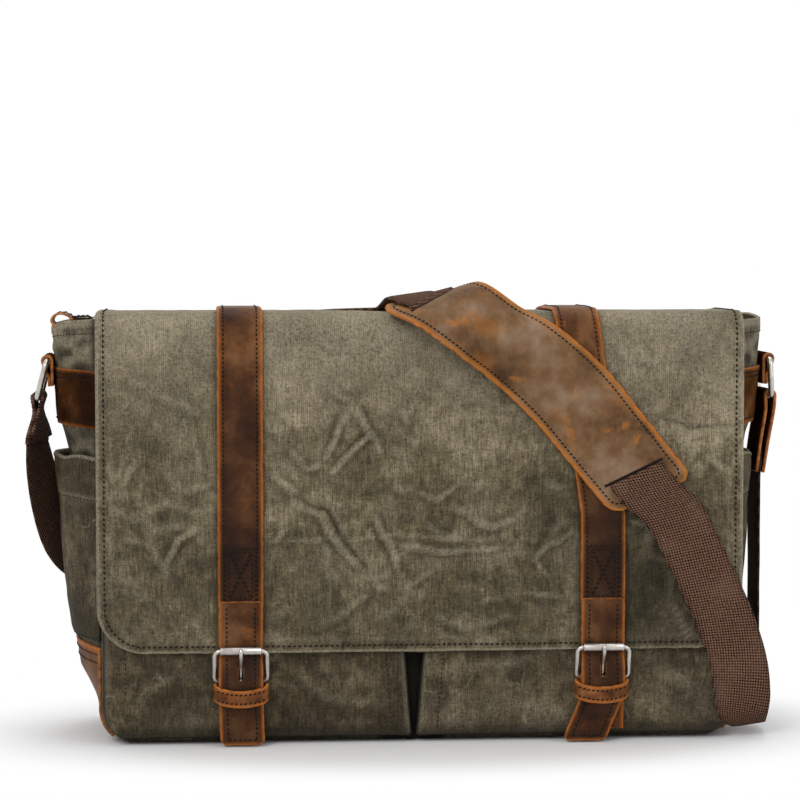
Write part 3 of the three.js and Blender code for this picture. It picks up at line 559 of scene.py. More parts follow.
def creased(creases: Sequence[Crease], a: Array, b: Array, turn: float = 0.0) -> tuple[Array, Array]:
    """Adds up creases that wander a little and break off here and there.

    Args:
        creases: The creases.
        a: Places across.
        b: Places up.
        turn: A number that picks how they wander.

    Returns:
        The height and the chalky wear at each place.
    """
    places = spots(a, b, 0.0)
    across, up = (2.4 * ripple(places, 24, turn + k) + 0.7 * ripple(places, 9, turn + k + 1) for k in (40, 42))
    kept = np.clip(0.8 + 0.8 * ripple(places, 13, turn + 44), 0.2, 1.2)
    rises, pales = zip(*(crease.on(a + across, b + up) for crease in creases))
    return sum(rises) * kept, np.maximum.reduce(pales) * kept


class Piece:
    """Gathers the corners, faces and finishes of one visible piece."""

    def __init__(self, name: str, slot: str) -> None:
        """Starts an empty piece.

        Args:
            name: The piece's name.
            slot: The record's material slot; it is stored but nothing uses it.
        """
        self.name, self.slot = name, slot
        self.corners: list[Array] = []
        self.marks: list[Array] = []
        self.faces: list[tuple[int, ...]] = []
        self.dress: list[int] = []
        self.finishes: list[Finish] = []
        self.count = 0

    def add(self, corners: Array, faces: Iterable[Sequence[int]], finish: Finish,
            marks: Array | None = None) -> None:
        """Adds one more mesh in a finish.

        Args:
            corners: Its corners, in millimetres.
            faces: Its faces.
            finish: Its finish.
            marks: Flat place, wear and shade at each corner, or none.
        """
        if finish not in self.finishes:
            self.finishes.append(finish)
        self.corners.append(corners)
        self.marks.append(np.zeros((len(corners), 4)) if marks is None else marks)
        self.faces += [tuple(int(i) + self.count for i in face) for face in faces]
        self.dress += [self.finishes.index(finish)] * (len(self.faces) - len(self.dress))
        self.count += len(corners)

    def build(self, body: str, *replaced: str) -> bpy.types.Object:
        """Makes the object, lets it stand for nodes and ride on a body."""
        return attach(self.loose(*replaced), body)

    def loose(self, *replaced: str) -> bpy.types.Object:
        """Makes the object without a body.

        Args:
            replaced: The nodes that it stands for.

        Returns:
            The object.
        """
        mesh = bpy.data.meshes.new(self.name)
        mesh.from_pydata((np.concatenate(self.corners) * MM).tolist(), [], self.faces)
        for finish in self.finishes:
            mesh.materials.append(finish.material())
        mesh.polygons.foreach_set("material_index", self.dress)
        mesh.polygons.foreach_set("use_smooth", [True] * len(self.faces))
        marks = np.concatenate(self.marks)
        flat = np.zeros((len(marks), 3), np.float32)
        flat[:, :2] = marks[:, :2] * MM
        mesh.attributes.new("flat", "FLOAT_VECTOR", "POINT").data.foreach_set("vector", flat.ravel())
        for name, column in (("wear", 2), ("shade", 3)):
            values = np.clip(marks[:, column], 0, 1).astype(np.float32)
            mesh.attributes.new(name, "FLOAT", "POINT").data.foreach_set("value", values)
        mesh.validate()
        mesh.update()
        thing = bpy.data.objects.new(self.name, mesh)
        bpy.context.scene.collection.objects.link(thing)
        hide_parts(*replaced)
        log.info("%s: %d faces", self.name, len(self.faces))
        return thing


@dataclass
class Sheet:
    """A bent sheet of cloth or leather, as a grid of places on its middle, in millimetres.

    Attributes:
        places: Rows by columns of places.
        thickness: Its thickness, the same or at each place, as wear and shade are.
        wear: Chalky or rubbed wear.
        shade: Painted shade, and in places the material's own darker tone.
        flat: The cloth's own coordinates at each place.
        loop: Whether the last column joins the first.
    """

    ROLL: ClassVar[float] = 0.35

    places: Array
    thickness: float | Array
    wear: float | Array = 0.0
    shade: float | Array = 0.0
    flat: Array | None = None
    loop: bool = False
    normals: Array = field(init=False)

    def __post_init__(self) -> None:
        """Works out what wasn't given, and spreads the rest over the grid."""
        self.thickness, self.wear, self.shade = (
            np.broadcast_to(value, self.places.shape[:2]) for value in (self.thickness, self.wear, self.shade))
        padded = np.pad(self.places, ((0, 0), (1, 1), (0, 0)), mode="wrap")
        across = np.gradient(padded, axis=1)[:, 1:-1] if self.loop else np.gradient(self.places, axis=1)
        self.normals = unit(np.cross(across, np.gradient(self.places, axis=0)))
        if self.flat is None:
            s, t = (np.median(np.linalg.norm(np.diff(self.places, axis=axis), axis=2), axis=1 - axis)
                    for axis in (1, 0))
            self.flat = np.dstack(grid(np.append(0, np.cumsum(t)), np.append(0, np.cumsum(s)))[::-1])

    def moved(self, distance: float | Array) -> Array:
        """The places moved out along the normals."""
        return self.places + self.normals * np.asarray(distance)[..., None]

    def at(self, rows: Array, cols: Array, lift: float = 0.0) -> tuple[Array, Array]:
        """Places on the outer face.

        Args:
            rows: Shares of the way along, from 0 to 1.
            cols: Shares of the way across, from 0 to 1.
            lift: How far above the face.

        Returns:
            The places and the normals there.
        """
        face = self.moved(self.thickness / 2 + lift)
        r = np.clip(rows, 0, 1) * (face.shape[0] - 1)
        c = np.clip(cols, 0, 1) * (face.shape[1] - 1)
        r0 = np.minimum(r.astype(int), face.shape[0] - 2)
        c0 = np.minimum(c.astype(int), face.shape[1] - 2)
        fr, fc = (r - r0)[:, None], (c - c0)[:, None]
        face, normals = ((v[r0, c0] * (1 - fc) + v[r0, c0 + 1] * fc) * (1 - fr)
                         + (v[r0 + 1, c0] * (1 - fc) + v[r0 + 1, c0 + 1] * fc) * fr for v in (face, self.normals))
        return face, unit(normals)

    def part(self, first: int, last: int) -> "Sheet":
        """A run of rows as a sheet of its own, with the same normals.

        Args:
            first: Its first row.
            last: Its last row.

        Returns:
            The shorter sheet.
        """
        rows = slice(first, last + 1)
        sheet = Sheet(*(v[rows] for v in (self.places, self.thickness, self.wear, self.shade, self.flat)), self.loop)
        sheet.normals = self.normals[rows]
        return sheet

    def add_to(self, piece: Piece, face: Finish, rim: Finish | None = None, back: Finish | None = None,
               open_start: bool = False, open_end: bool = False,
               hole: tuple[int, int, int, int] | None = None) -> "Sheet":
        """Adds the sheet as a closed body with a rolled rim.

        Args:
            piece: The piece that it joins.
            face: The finish of its face.
            rim: The finish of its rim, or the face's.
            back: The finish of its back, or the face's.
            open_start: Whether the first row has no rim, because the cloth goes on there.
            open_end: Whether the last row has none.
            hole: First and last row, and first and last column, of an opening.

        Returns:
            The sheet itself.
        """
        rows, cols = self.places.shape[:2]
        total = rows * cols
        index = np.arange(total).reshape(rows, cols)
        wrap = np.concatenate([index, index[:, :1]], axis=1) if self.loop else index
        solid = np.ones((rows - 1, wrap.shape[1] - 1), bool)
        if self.loop:
            borders = [(index[0], index[1]), (index[-1][::-1], index[-2][::-1])]
        else:
            ring = np.concatenate([index[0], index[1:, -1], index[-1, -2::-1], index[-2:0:-1, 0]])
            r, c = np.divmod(ring, cols)
            borders = [(ring, index[np.clip(r, 1, rows - 2), np.clip(c, 1, cols - 2)])]
        if hole:
            r0, r1, c0, c1 = hole
            solid[r0:r1, c0:c1] = False
            ring = np.concatenate([index[r0:r1, c0], index[r1, c0:c1], index[r1:r0:-1, c1], index[r0, c1:c0:-1]])
            r, c = np.divmod(ring, cols)
            borders.append((ring, index[r + (r == r1) - (r == r0), c + (c == c1) - (c == c0)]))
        quads = np.stack([part[solid] for part in (wrap[:-1, :-1], wrap[:-1, 1:], wrap[1:, 1:], wrap[1:, :-1])], axis=1)
        faces: dict[Finish, list[Array]] = {face: [quads]}
        faces.setdefault(back or face, []).append(quads[:, ::-1] + total)
        around = faces.setdefault(rim or face, [])

        places, thick = self.places.reshape(-1, 3), self.thickness.ravel()
        own = np.dstack([self.flat, self.wear, self.shade]).reshape(-1, 4)
        corners = [self.moved(way * self.thickness / 2).reshape(-1, 3) for way in (1, -1)]
        marks = [own, own]
        for ring, near in borders:
            middle = sum(len(part) for part in corners) + np.arange(len(ring))
            way = unit(places[ring] - places[near])
            corners.append(places[ring] + way * (self.ROLL * thick[ring])[:, None])
            marks.append(own[ring])
            after, middle_after = np.roll(ring, -1), np.roll(middle, -1)
            first, last = (np.maximum(ring, after) < cols), (np.minimum(ring, after) >= total - cols)
            kept = ~(open_start & first) & ~(open_end & last)
            around.append(np.stack([after, ring, middle, middle_after], axis=1)[kept])
            around.append(np.stack([middle_after, middle, ring + total, after + total], axis=1)[kept])
        corners, marks = np.concatenate(corners), np.concatenate(marks)
        for finish, groups in faces.items():
            used, numbers = np.unique(np.concatenate(groups), return_inverse=True)
            piece.add(corners[used], numbers.reshape(-1, 4), finish, marks[used])
        return self


def bands(rings: int, sides: int, joined: bool = False) -> Array:
    """Quads between rings of corners.

    Args:
        rings: How many rings follow each other.
        sides: How many corners each has.
        joined: Whether the last ring joins the first.

    Returns:
        Each quad's corners: two on one ring, then two on the next.
    """
    low, k = grid(np.arange(rings if joined else rings - 1) * sides, np.arange(sides))
    high, after = (low + sides) % (rings * sides), (k + 1) % sides
    return np.stack([low + k, low + after, high + after, high + k], axis=-1).reshape(-1, 4)


@dataclass(frozen=True)
class Seam:
    """A row of stitches: each a small rounded rod that dips into the cloth at its ends."""

    # The rod's rings: shares of the length, then sizes and heights as shares of the radius
    RINGS: ClassVar[tuple] = (
        (-0.5, 0.35, -1.1), (-0.36, 0.9, -0.25), (0, 1, 0.15), (0.36, 0.9, -0.25), (0.5, 0.35, -1.1))

    finish: Finish = DARK_THREAD
    pitch: float = 3.0
    radius: float = 0.56
    length: float = 2.3
    slant: float = 0.16

    def sew(self, piece: Piece, path: Array, normals: Array) -> None:
        """Sews along a path.

        Args:
            piece: The piece that the thread joins.
            path: Places on the cloth's face.
            normals: The way out of the cloth at each.
        """
        run = distances(path)
        count = int(run[-1] // self.pitch)
        if count < 1:
            return
        at = (np.arange(count) + 0.5) * run[-1] / count
        centre, normal = read(at, run, path), unit(read(at, run, normals))
        way = unit(read(at + 0.4, run, path) - read(at - 0.4, run, path))
        side = unit(np.cross(normal, way))
        way = unit(way + self.slant * side)
        rings = [centre + way * end * self.length
                 + self.radius * (normal * sink + size * (math.cos(t) * side + math.sin(t) * normal))
                 for end, size, sink in self.RINGS for t in np.arange(6) * math.pi / 3]
        one = len(rings)
        starts = one * np.arange(count)[:, None, None]
        quads = (bands(one // 6, 6) + starts).reshape(-1, 4)
        caps = (np.array([range(5, -1, -1), range(one - 6, one)]) + starts).reshape(-1, 6)
        piece.add(np.stack(rings, axis=1).reshape(-1, 3), [*quads, *caps], self.finish)

    def line(self, piece: Piece, sheet: Sheet, rows: Sequence[float], cols: Sequence[float]) -> None:
        """Sews a straight run on a sheet, from the first to the second share along and across it."""
        share = np.linspace(0, 1, 160)
        self.sew(piece, *sheet.at(*(low + (high - low) * share for low, high in (rows, cols))))

    def across(self, piece: Piece, sheet: Sheet, cols: Sequence[float], *rows: float) -> None:
        """Sews across a sheet at each of some shares along it."""
        for row in rows:
            self.line(piece, sheet, (row, row), cols)

    def along(self, piece: Piece, sheet: Sheet, rows: Sequence[float], *cols: float) -> None:
        """Sews along a sheet at each of some shares across it."""
        for col in cols:
            self.line(piece, sheet, rows, (col, col))


LEATHER_SEAM = Seam()
CANVAS_SEAM = Seam(CANVAS_THREAD, 3.2, 0.38)
FLAP_SEAM = Seam(CANVAS_THREAD, 3.5, 0.62)


def add_tube(piece: Piece, path: Array, radius: float | Array, finish: Finish, sides: int = 12,
             closed: bool = False, squeeze: float = 1.0, up: Sequence[float] = (0.0, 0.0, 1.0)) -> None:
    """Adds a round or flattened bar along a path.

    Args:
        piece: The piece that it joins.
        path: Its middle line.
        radius: Its radius, the same or at each point.
        finish: Its finish.
        sides: How many sides it has.
        closed: Whether its end joins its start.
        squeeze: Its thickness along up, as a share of its width.
        up: A way that is never along the path.
    """
    count = len(path)
    way = unit(np.roll(path, -1, axis=0) - np.roll(path, 1, axis=0) if closed else np.gradient(path, axis=0))
    side = unit(np.cross(way, np.array(up, float)))
    rise = np.cross(side, way)
    size = np.broadcast_to(radius, count)[:, None]
    angles = 2 * np.pi * np.arange(sides) / sides
    rings = [path + size * (math.cos(t) * side + squeeze * math.sin(t) * rise) for t in angles]
    faces = [*bands(count, sides, closed)[:, [0, 3, 2, 1]]]
    if not closed:
        faces += [range(sides), range(count * sides - 1, (count - 1) * sides - 1, -1)]
    marks = np.zeros((count * sides, 4))
    marks[:, 0] = np.tile(angles * float(np.mean(size)), count)
    marks[:, 1] = np.repeat(distances(path), sides)
    piece.add(np.stack(rings, axis=1).reshape(-1, 3), faces, finish, marks)


def add_turned(piece: Piece, centre: Sequence[float], profile: Sequence[tuple[float, float]],
               axis: int = 0, sides: int = 28) -> None:
    """Adds a turned nickel ring: a closed profile spun round an axis.

    Args:
        piece: The piece that it joins.
        centre: The middle of the axis.
        profile: Places along the axis and radii, in order round the section.
        axis: 0 or 1 for X or Y.
        sides: How many sides it has.
    """
    angles = 2 * np.pi * np.arange(sides)[:, None] / sides
    along, radius = np.array(profile).T
    parts = [radius * np.cos(angles), radius * np.sin(angles)]
    parts.insert(axis, along)
    faces = bands(sides, len(profile), True)
    piece.add(spots(*parts).reshape(-1, 3) + centre, faces[:, ::-1] if axis == 1 else faces, NICKEL)


def add_block(piece: Piece, low: Sequence[float], high: Sequence[float], bevel: float) -> None:
    """Adds a small nickel block with rounded edges, as a stack of shrinking outlines.

    Args:
        piece: The piece that it joins.
        low: Its lowest corner.
        high: Its highest corner.
        bevel: The edges' radius.
    """
    turns = np.radians([0, 45, 90])
    levels = [(low[2] + bevel * (1 - math.sin(t)), bevel * math.cos(t)) for t in turns[::-1]]
    levels += [(high[2] - bevel * (1 - math.sin(t)), bevel * math.cos(t)) for t in turns]
    middles = ((high[0] - bevel, high[1] - bevel), (low[0] + bevel, high[1] - bevel),
               (low[0] + bevel, low[1] + bevel), (high[0] - bevel, low[1] + bevel))
    corners = [(x + max(radius, 0.01) * math.cos(t), y + max(radius, 0.01) * math.sin(t), z)
               for z, radius in levels for part, (x, y) in enumerate(middles)
               for t in np.radians(90 * part + np.array([0, 30, 60, 90]))]
    count, total = 16, len(corners)
    caps = [range(count - 1, -1, -1), range(total - count, total)]
    piece.add(np.array(corners), [*caps, *bands(len(levels), count)], NICKEL)


def rounded_loop(low: Sequence[float], high: Sequence[float], half: float, way: Sequence[float],
                 corner: float) -> Array:
    """The middle line of a rectangular wire loop with rounded corners.

    Args:
        low: The middle of the lower bar.
        high: The middle of the upper bar.
        half: Half the distance between the side bars.
        way: The direction along the bars.
        corner: The corners' radius.

    Returns:
        The places round the loop.
    """
    low, high, way = np.array(low), np.array(high), np.array(way, float)
    tall = np.linalg.norm(high - low)
    turns = [(sx, sy, (i + k / 8) * math.pi / 2)
             for i, (sx, sy) in enumerate([(1, 1), (-1, 1), (-1, -1), (1, -1)]) for k in range(9)]
    return np.array([(low + high) / 2 + way * (sx * (half - corner) + corner * math.cos(t))
                     + (high - low) / tall * (sy * (tall / 2 - corner) + corner * math.sin(t)) for sx, sy, t in turns])


def spline(rows: Sequence[Sequence[float]], count: int) -> Array:
    """A smooth curve through points, in the centripetal way.

    Args:
        rows: The points.
        count: How many places it returns.

    Returns:
        Places along the curve, evenly over its spans.
    """
    rows = np.array(rows, float)
    ends = np.concatenate([[2 * rows[0] - rows[1]], rows, [2 * rows[-1] - rows[-2]]])
    places = []
    for t in np.linspace(0, len(rows) - 1, count):
        i = min(int(t), len(rows) - 2)
        p0, p1, p2, p3 = ends[i:i + 4]
        d0, d1, d2 = (max(np.linalg.norm(b - a), 1e-6) ** 0.5 for a, b in ((p0, p1), (p1, p2), (p2, p3)))
        t1 = ((p1 - p0) / d0 - (p2 - p0) / (d0 + d1) + (p2 - p1) / d1) * d1
        t2 = ((p2 - p1) / d1 - (p3 - p1) / (d1 + d2) + (p3 - p2) / d2) * d1
        w = t - i
        places.append((2 * w**3 - 3 * w**2 + 1) * p1 + (w**3 - 2 * w**2 + w) * t1
                      + (3 * w**2 - 2 * w**3) * p2 + (w**3 - w**2) * t2)
    return np.array(places)


def grid(rows: Array, cols: Array) -> tuple[Array, Array]:
    """Spreads row values and column values over a grid."""
    return np.broadcast_arrays(rows[:, None], cols[None, :])


def steps(low: float, high: float, step: float) -> Array:
    """Even places from low to high, about a step apart."""
    return np.linspace(low, high, max(4, int(round(abs(high - low) / step)) + 1))


@dataclass
class Rail:
    """A bent line in the YZ plane, by the distance along it."""

    points: list[tuple[float, float]]

    def __post_init__(self) -> None:
        """Works out the distances and the way out along the line."""
        line = np.array(self.points, float)
        run = distances(line)
        self.length = float(run[-1])
        self.run = np.linspace(0, self.length, 1200)
        self.line = read(self.run, run, line)
        kernel = np.hanning(21) / np.hanning(21).sum()
        padded = np.pad(np.gradient(self.line, axis=0), ((10, 10), (0, 0)), mode="edge")
        y, z = (np.convolve(column, kernel, "valid") for column in padded.T)
        self.out = unit(np.stack([z, -y], axis=1))

    def at(self, x: Array, s: Array, lift: Array | float) -> Array:
        """Places across, at distances along the line and some way out of it."""
        y, z, oy, oz = (np.interp(s, self.run, v) for v in (*self.line.T, *self.out.T))
        return spots(x, y + oy * lift, z + oz * lift)

    def where_z(self, z: float) -> float:
        """The distance at which the last, falling part of the line has a height."""
        fall = self.run > self.length / 2
        return float(np.interp(-z, -self.line[fall, 1], self.run[fall]))


def arc(centre: tuple[float, float], radius: float, start: float, end: float, count: int = 11
        ) -> list[tuple[float, float]]:
    """Points on the arc of a circle, between two angles in degrees."""
    angles = np.radians(np.linspace(start, end, count))
    return [(centre[0] + radius * math.cos(t), centre[1] + radius * math.sin(t)) for t in angles]


@dataclass
class Studio:
    """Plain pale floor, soft white surroundings, lamps and the camera."""

    eye: tuple[float, float, float] = (-0.14, -1.76, 0.33)
    aim: tuple[float, float, float] = (-0.0148, -0.06, 0.226)
    lens: float = 117.85
    ambient: float = 0.46
    reach: float = 3.0
    level: float = -0.0006

    def build(self) -> None:
        """Sets the scene up."""
        scene = bpy.context.scene
        scene.view_settings.view_transform = "Standard"
        camera = bpy.data.cameras.new("camera")
        camera.lens, camera.sensor_width, camera.clip_end = self.lens, 36, 50
        scene.camera = self.stand(camera, self.eye, self.aim)
        scene.world = bpy.data.worlds.new("surroundings")
        pad = NodePad(scene.world)
        light, white = (pad.add("Background", Color=WHITE, Strength=power) for power in (self.ambient, 1.0))
        pad.add("OutputWorld", Surface=pad.add("MixShader", _0=pad.seen(), _1=light, _2=white))
        self.add_floor()
        for name, place, aim, size, power in (("key", (-1.1, -1.9, 1.7), (0, 0, 0.14), 1.1, 25),
                                              ("fill", (1.7, -1.3, 0.9), (0, 0, 0.14), 1.4, 10),
                                              ("top", (0.1, 0.3, 2.1), (0, 0, 0.2), 1.3, 14)):
            lamp = bpy.data.lights.new(name, "AREA")
            lamp.size, lamp.energy = size, power
            self.stand(lamp, place, aim)

    def stand(self, data: bpy.types.ID, place: Sequence[float], aim: Sequence[float]) -> bpy.types.Object:
        """Puts a camera or a lamp up.

        Args:
            data: Its data.
            place: Where it stands.
            aim: What it points at.

        Returns:
            The object.
        """
        thing = bpy.data.objects.new(data.name, data)
        bpy.context.scene.collection.objects.link(thing)
        thing.location = place
        thing.rotation_euler = (Vector(aim) - Vector(place)).to_track_quat("-Z", "Y").to_euler()
        return thing

    def add_floor(self) -> None:
        """Adds a pale floor that fades to white away from the bag."""
        mesh = bpy.data.meshes.new("floor")
        corners = [(x * self.reach, y * self.reach, self.level) for x, y in ((-1, -1), (1, -1), (1, 1), (-1, 1))]
        mesh.from_pydata(corners, [], [(0, 1, 2, 3)])
        floor = bpy.data.objects.new("floor", mesh)
        bpy.context.scene.collection.objects.link(floor)
        pad = NodePad(bpy.data.materials.new("pale_floor"))
        pale = pad.add("BsdfPrincipled", Base_Color=srgb(246, 246, 246), Roughness=0.9)
        across, along = (pad.maths("POWER", value, 2.0) for value in pad.split(pad.stretched(pad.place(), (1, 1.9, 1))))
        far = pad.maths("SQRT", pad.maths("ADD", across, along))
        share = pad.maths("MULTIPLY", pad.between(far, 0.2, 0.36), pad.seen())
        mixed = pad.add("MixShader", _0=share, _1=pale, _2=pad.add("Emission", Color=WHITE))
        pad.add("OutputMaterial", Surface=mixed)
        mesh.materials.append(pad.owner)


@dataclass
class SideShape:
    """The outer face of one end of the bag, pushed out towards its mouth."""

    side: Side
    depth: float
    table: tuple[tuple[float, float], ...]
    mouth: tuple[tuple[float, float], ...]
    creases: tuple[Crease, ...]

    def out(self, y: Array, z: Array) -> Array:
        """How far the face is from the bag's middle.

        Args:
            y: Places from front to back.
            z: Heights.

        Returns:
            The distances.
        """
        half = HALF - CORNER + np.sqrt(CORNER**2 - np.clip(CORNER - z, 0, CORNER) ** 2)
        v = (z - CORNER) / (GUSSET_TOP - CORNER)
        swell = np.interp(v, *np.array(self.table).T) * (v > 0)
        across = np.sin(np.pi * np.clip((y - GUSSET_FRONT) / SIDE_DEPTH, 0, 1))
        places = spots(y, z, self.side.value * 90)
        rough = 1.7 * ripple(places, (34, 46, 1)) + 0.6 * ripple(places, 13, 2)
        return half + self.depth * swell * across + (rough * smooth(z, 20, 60) + self.crease(y, z)[0]) * across

    def crease(self, y: Array, z: Array) -> tuple[Array, Array]:
        """The folds' height and wear."""
        rises, pales = zip(*(crease.on(y, z) for crease in self.creases))
        return sum(rises), np.maximum.reduce(pales)

    def top(self, y: Array) -> Array:
        """The height of the mouth's edge."""
        return np.interp(y, *np.array(self.mouth).T)

    def sheet(self, y: Array, z: Array, lift: Array | float, thickness: Array | float, wear: Array | float = 0.0,
              shade: Array | float = 0.0) -> Sheet:
        """A sheet that lies on the face.

        Args:
            y: Places from front to back, rows going up and columns to the back.
            z: Heights.
            lift: How far its middle lies off the face.
            thickness: Its thickness.
            wear: Its wear.
            shade: Its painted shade.

        Returns:
            The sheet.
        """
        way = self.side.value
        y, z, lift, thickness, wear, shade = (
            value[:, ::way] for value in np.broadcast_arrays(y, z, lift, thickness, wear, shade))
        face = Sheet(spots(way * self.out(y, z), y, z), 1.0)
        return Sheet(face.moved(lift), thickness, wear, shade, np.dstack([y, z]))


LEFT_SIDE = SideShape(
    Side.LEFT, 33, ((0, 0), (0.1, 0.42), (0.2, 0.56), (0.45, 0.62), (0.66, 0.66), (0.75, 0.86), (0.88, 0.93),
                    (1, 1)), ((-42, 278), (-16, 275.5), (4, 273.4), (20, 274), (42, 277), (58, 273.5)),
    (Crease(((-41, 264), (-27, 254), (-16, 249)), 2.9, 4.2, 0.5),
     Crease(((-41, 249), (-28, 256), (-12, 266), (4, 270)), 2.2, 3.4, 0.5),
     Crease(((-41, 272), (-20, 262), (10, 258)), 1.8, 3.4, 0.35),
     Crease(((-41, 201), (-24, 194), (-10, 190)), 2.1, 3.6, 0.5),
     Crease(((-40, 188), (-28, 197), (-8, 204)), 1.7, 3.2, 0.45), Crease(((34, 264), (50, 250)), 2.2, 4.5, 0.4),
     Crease(((-36, 170), (-22, 140), (-20, 104)), 1.6, 5, 0.4),
     Crease(((44, 170), (24, 140), (30, 100)), 1.5, 5, 0.4)))
RIGHT_SIDE = SideShape(
    Side.RIGHT, 26, ((0, 0), (0.1, 0.24), (0.2, 0.3), (0.45, 0.32), (0.66, 0.4), (0.75, 0.76), (0.88, 0.92),
                     (1, 1)), ((-42, 276), (-8, 277), (24, 279.5), (42, 279), (52, 275), (58, 273.5)),
    (Crease(((-41, 252), (-24, 260), (-10, 268)), 2.2, 3.6, 0.45),
     Crease(((-40, 268), (-26, 258), (-14, 252)), 1.8, 3.2, 0.4),
     Crease(((-38, 200), (-10, 193), (14, 198)), 1.6, 4, 0.4), Crease(((36, 262), (50, 250)), 2.0, 4.5, 0.4),
     Crease(((-30, 165), (-14, 140), (-8, 96)), 1.6, 6, 0.4)))


@dataclass
class BodyShell:
    """Front, back, ends and base of the bag, with its lining and padded divider."""

    canvas: float = 2.0
    rim: float = 279.7
    back_rim: float = 267.0
    seam_radius: float = 1.5
    seam_inset: float = 1.4
    creases: tuple[Crease, ...] = (Crease(((-180, 60), (-120, 100), (-70, 96)), 0.9, 6, 0.4),
                                   Crease(((40, 210), (90, 180), (150, 190)), 0.9, 6, 0.4),
                                   Crease(((90, 40), (130, 76), (190, 84)), 0.8, 5, 0.4))

    def width_at(self, z: Array | float) -> Array:
        """Half the width of the front and back at a height."""
        return HALF - 1 - CORNER + np.sqrt(CORNER**2 - np.clip(CORNER - z, 0, CORNER) ** 2)

    def panel_grid(self, top: float) -> tuple[Array, Array]:
        """Lays out a front or back.

        Args:
            top: The height at which it ends.

        Returns:
            Places across and heights.
        """
        low = CORNER * (1 - np.cos(np.radians(np.linspace(12, 90, 8))))
        z, share = grid(np.append(low, steps(CORNER + 5, top, 5)), steps(-1, 1, 5 / HALF))
        return share * self.width_at(z), z

    def outline(self, y: float, top: float) -> Array:
        """The seam's line round the bottom of a panel.

        Args:
            y: Where the panel stands.
            top: How high the line goes.

        Returns:
            The places.
        """
        radius = CORNER - self.seam_inset
        half = [(HALF - self.seam_inset, z) for z in np.linspace(top, CORNER, 60)]
        half += [(HALF - CORNER + radius * math.cos(t), CORNER - radius * math.sin(t))
                 for t in np.linspace(0, math.pi / 2, 14)[1:]]
        return np.array([(x, y, z) for x, z in half] + [(-x, y, z) for x, z in half[::-1]])

    def build(self) -> None:
        """Builds every piece of the shell."""
        self.build_front()
        self.build_back()
        for shape in (LEFT_SIDE, RIGHT_SIDE):
            self.build_gusset(shape)
        self.build_base()
        self.build_lining()
        self.build_divider()

    def build_front(self) -> None:
        """Builds the front panel with its centre seam and side seams."""
        piece = Piece("front_body", "canvas")
        x, z = self.panel_grid(self.rim)
        ridge = bell(x, -5, 2.2) * smooth(z, 240, 215)
        y = FRONT_WALL - 0.35 * ripple(spots(x, 0, z), 40, 1) - 0.8 * ridge
        # Painted shade: darker towards the base, and dark in the V between the pockets
        shade = np.maximum(0.6 * smooth(z, 50, 0), smooth(np.abs(x + 5), 28, 20) * smooth(z, 222, 210))
        sheet = Sheet(spots(x, y, z), self.canvas, 0.4 * ridge, shade, np.dstack([x, z])).add_to(piece, BODY_CANVAS)
        line = self.outline(FRONT_WALL + 0.6, self.rim)
        add_tube(piece, line, self.seam_radius * (1 + 0.12 * ripple(line, 9, 4)), BODY_CANVAS, 10, up=(0, 1, 0))
        CANVAS_SEAM.along(piece, sheet, (0.08, 0.78), 0.482, 0.492)
        CANVAS_SEAM.across(piece, sheet, (0.01, 0.99), 0.985)
        piece.build("bag", "front_panel")

    def build_back(self) -> None:
        """Builds the plain back panel, stitched round its edge."""
        piece = Piece("back_body", "canvas")
        x, z = (value[:, ::-1] for value in self.panel_grid(self.back_rim))
        rough = 0.9 * ripple(spots(x, 0, z), 60, 5) + 0.35 * ripple(spots(x, 0, z), 18, 6)
        rise, pale = creased(self.creases, x, z)
        y = BACK_WALL - 0.3 + np.minimum(rough - np.abs(rise) - 0.4, 0.5)
        wear = np.maximum(pale, 0.5 * smooth(depth_inside(x, z, (-HALF, 0), (HALF, 290), CORNER), 3, 0))
        # Painted shade: the back darkens towards the base
        sheet = Sheet(spots(x, y, z), self.canvas, wear, 0.5 * smooth(z, 18, 0), np.dstack([x, z]))
        sheet.add_to(piece, BODY_CANVAS)
        line = self.outline(BACK_WALL - 0.9, self.back_rim)
        add_tube(piece, line, self.seam_radius, BODY_CANVAS, 10, up=(0, 1, 0))
        CANVAS_SEAM.along(piece, sheet, (0.1, 0.985), 0.014, 0.986)
        CANVAS_SEAM.across(piece, sheet, (0.05, 0.95), 0.035)
        piece.build("bag", "back_panel")

    def build_gusset(self, shape: SideShape) -> None:
        """Builds the canvas of one end.

        Args:
            shape: The end's shape.
        """
        piece = Piece(shape.side.named("gusset_body"), "canvas")
        share, y = grid(steps(0, 1, 0.0105), steps(GUSSET_FRONT - 0.6, GUSSET_BACK + 0.6, 2.4))
        z = 21.5 + (shape.top(y) - 21.5) * share
        hem = smooth(shape.top(y) - z, 9, 7)
        ridges, painted_shadows = relief(shape.out(y, z))
        # Painted shade: a dark band just below the leather band, and shade in the cloth's hollows
        dark = np.maximum(0.5 * smooth(z, 210, 203) * smooth(z, 190, 200), 0.7 * painted_shadows)
        pale = np.maximum.reduce([shape.crease(y, z)[1], 0.4 * ridges, 0.7 * smooth(share, 0.982, 0.99)])
        sheet = shape.sheet(y, z, -1.0, self.canvas + 0.9 * hem, pale, dark)
        sheet.add_to(piece, BODY_CANVAS, back=LINING)
        CANVAS_SEAM.across(piece, sheet, (0.02, 0.98), 0.968)
        piece.build("bag", shape.side.named("gusset"))

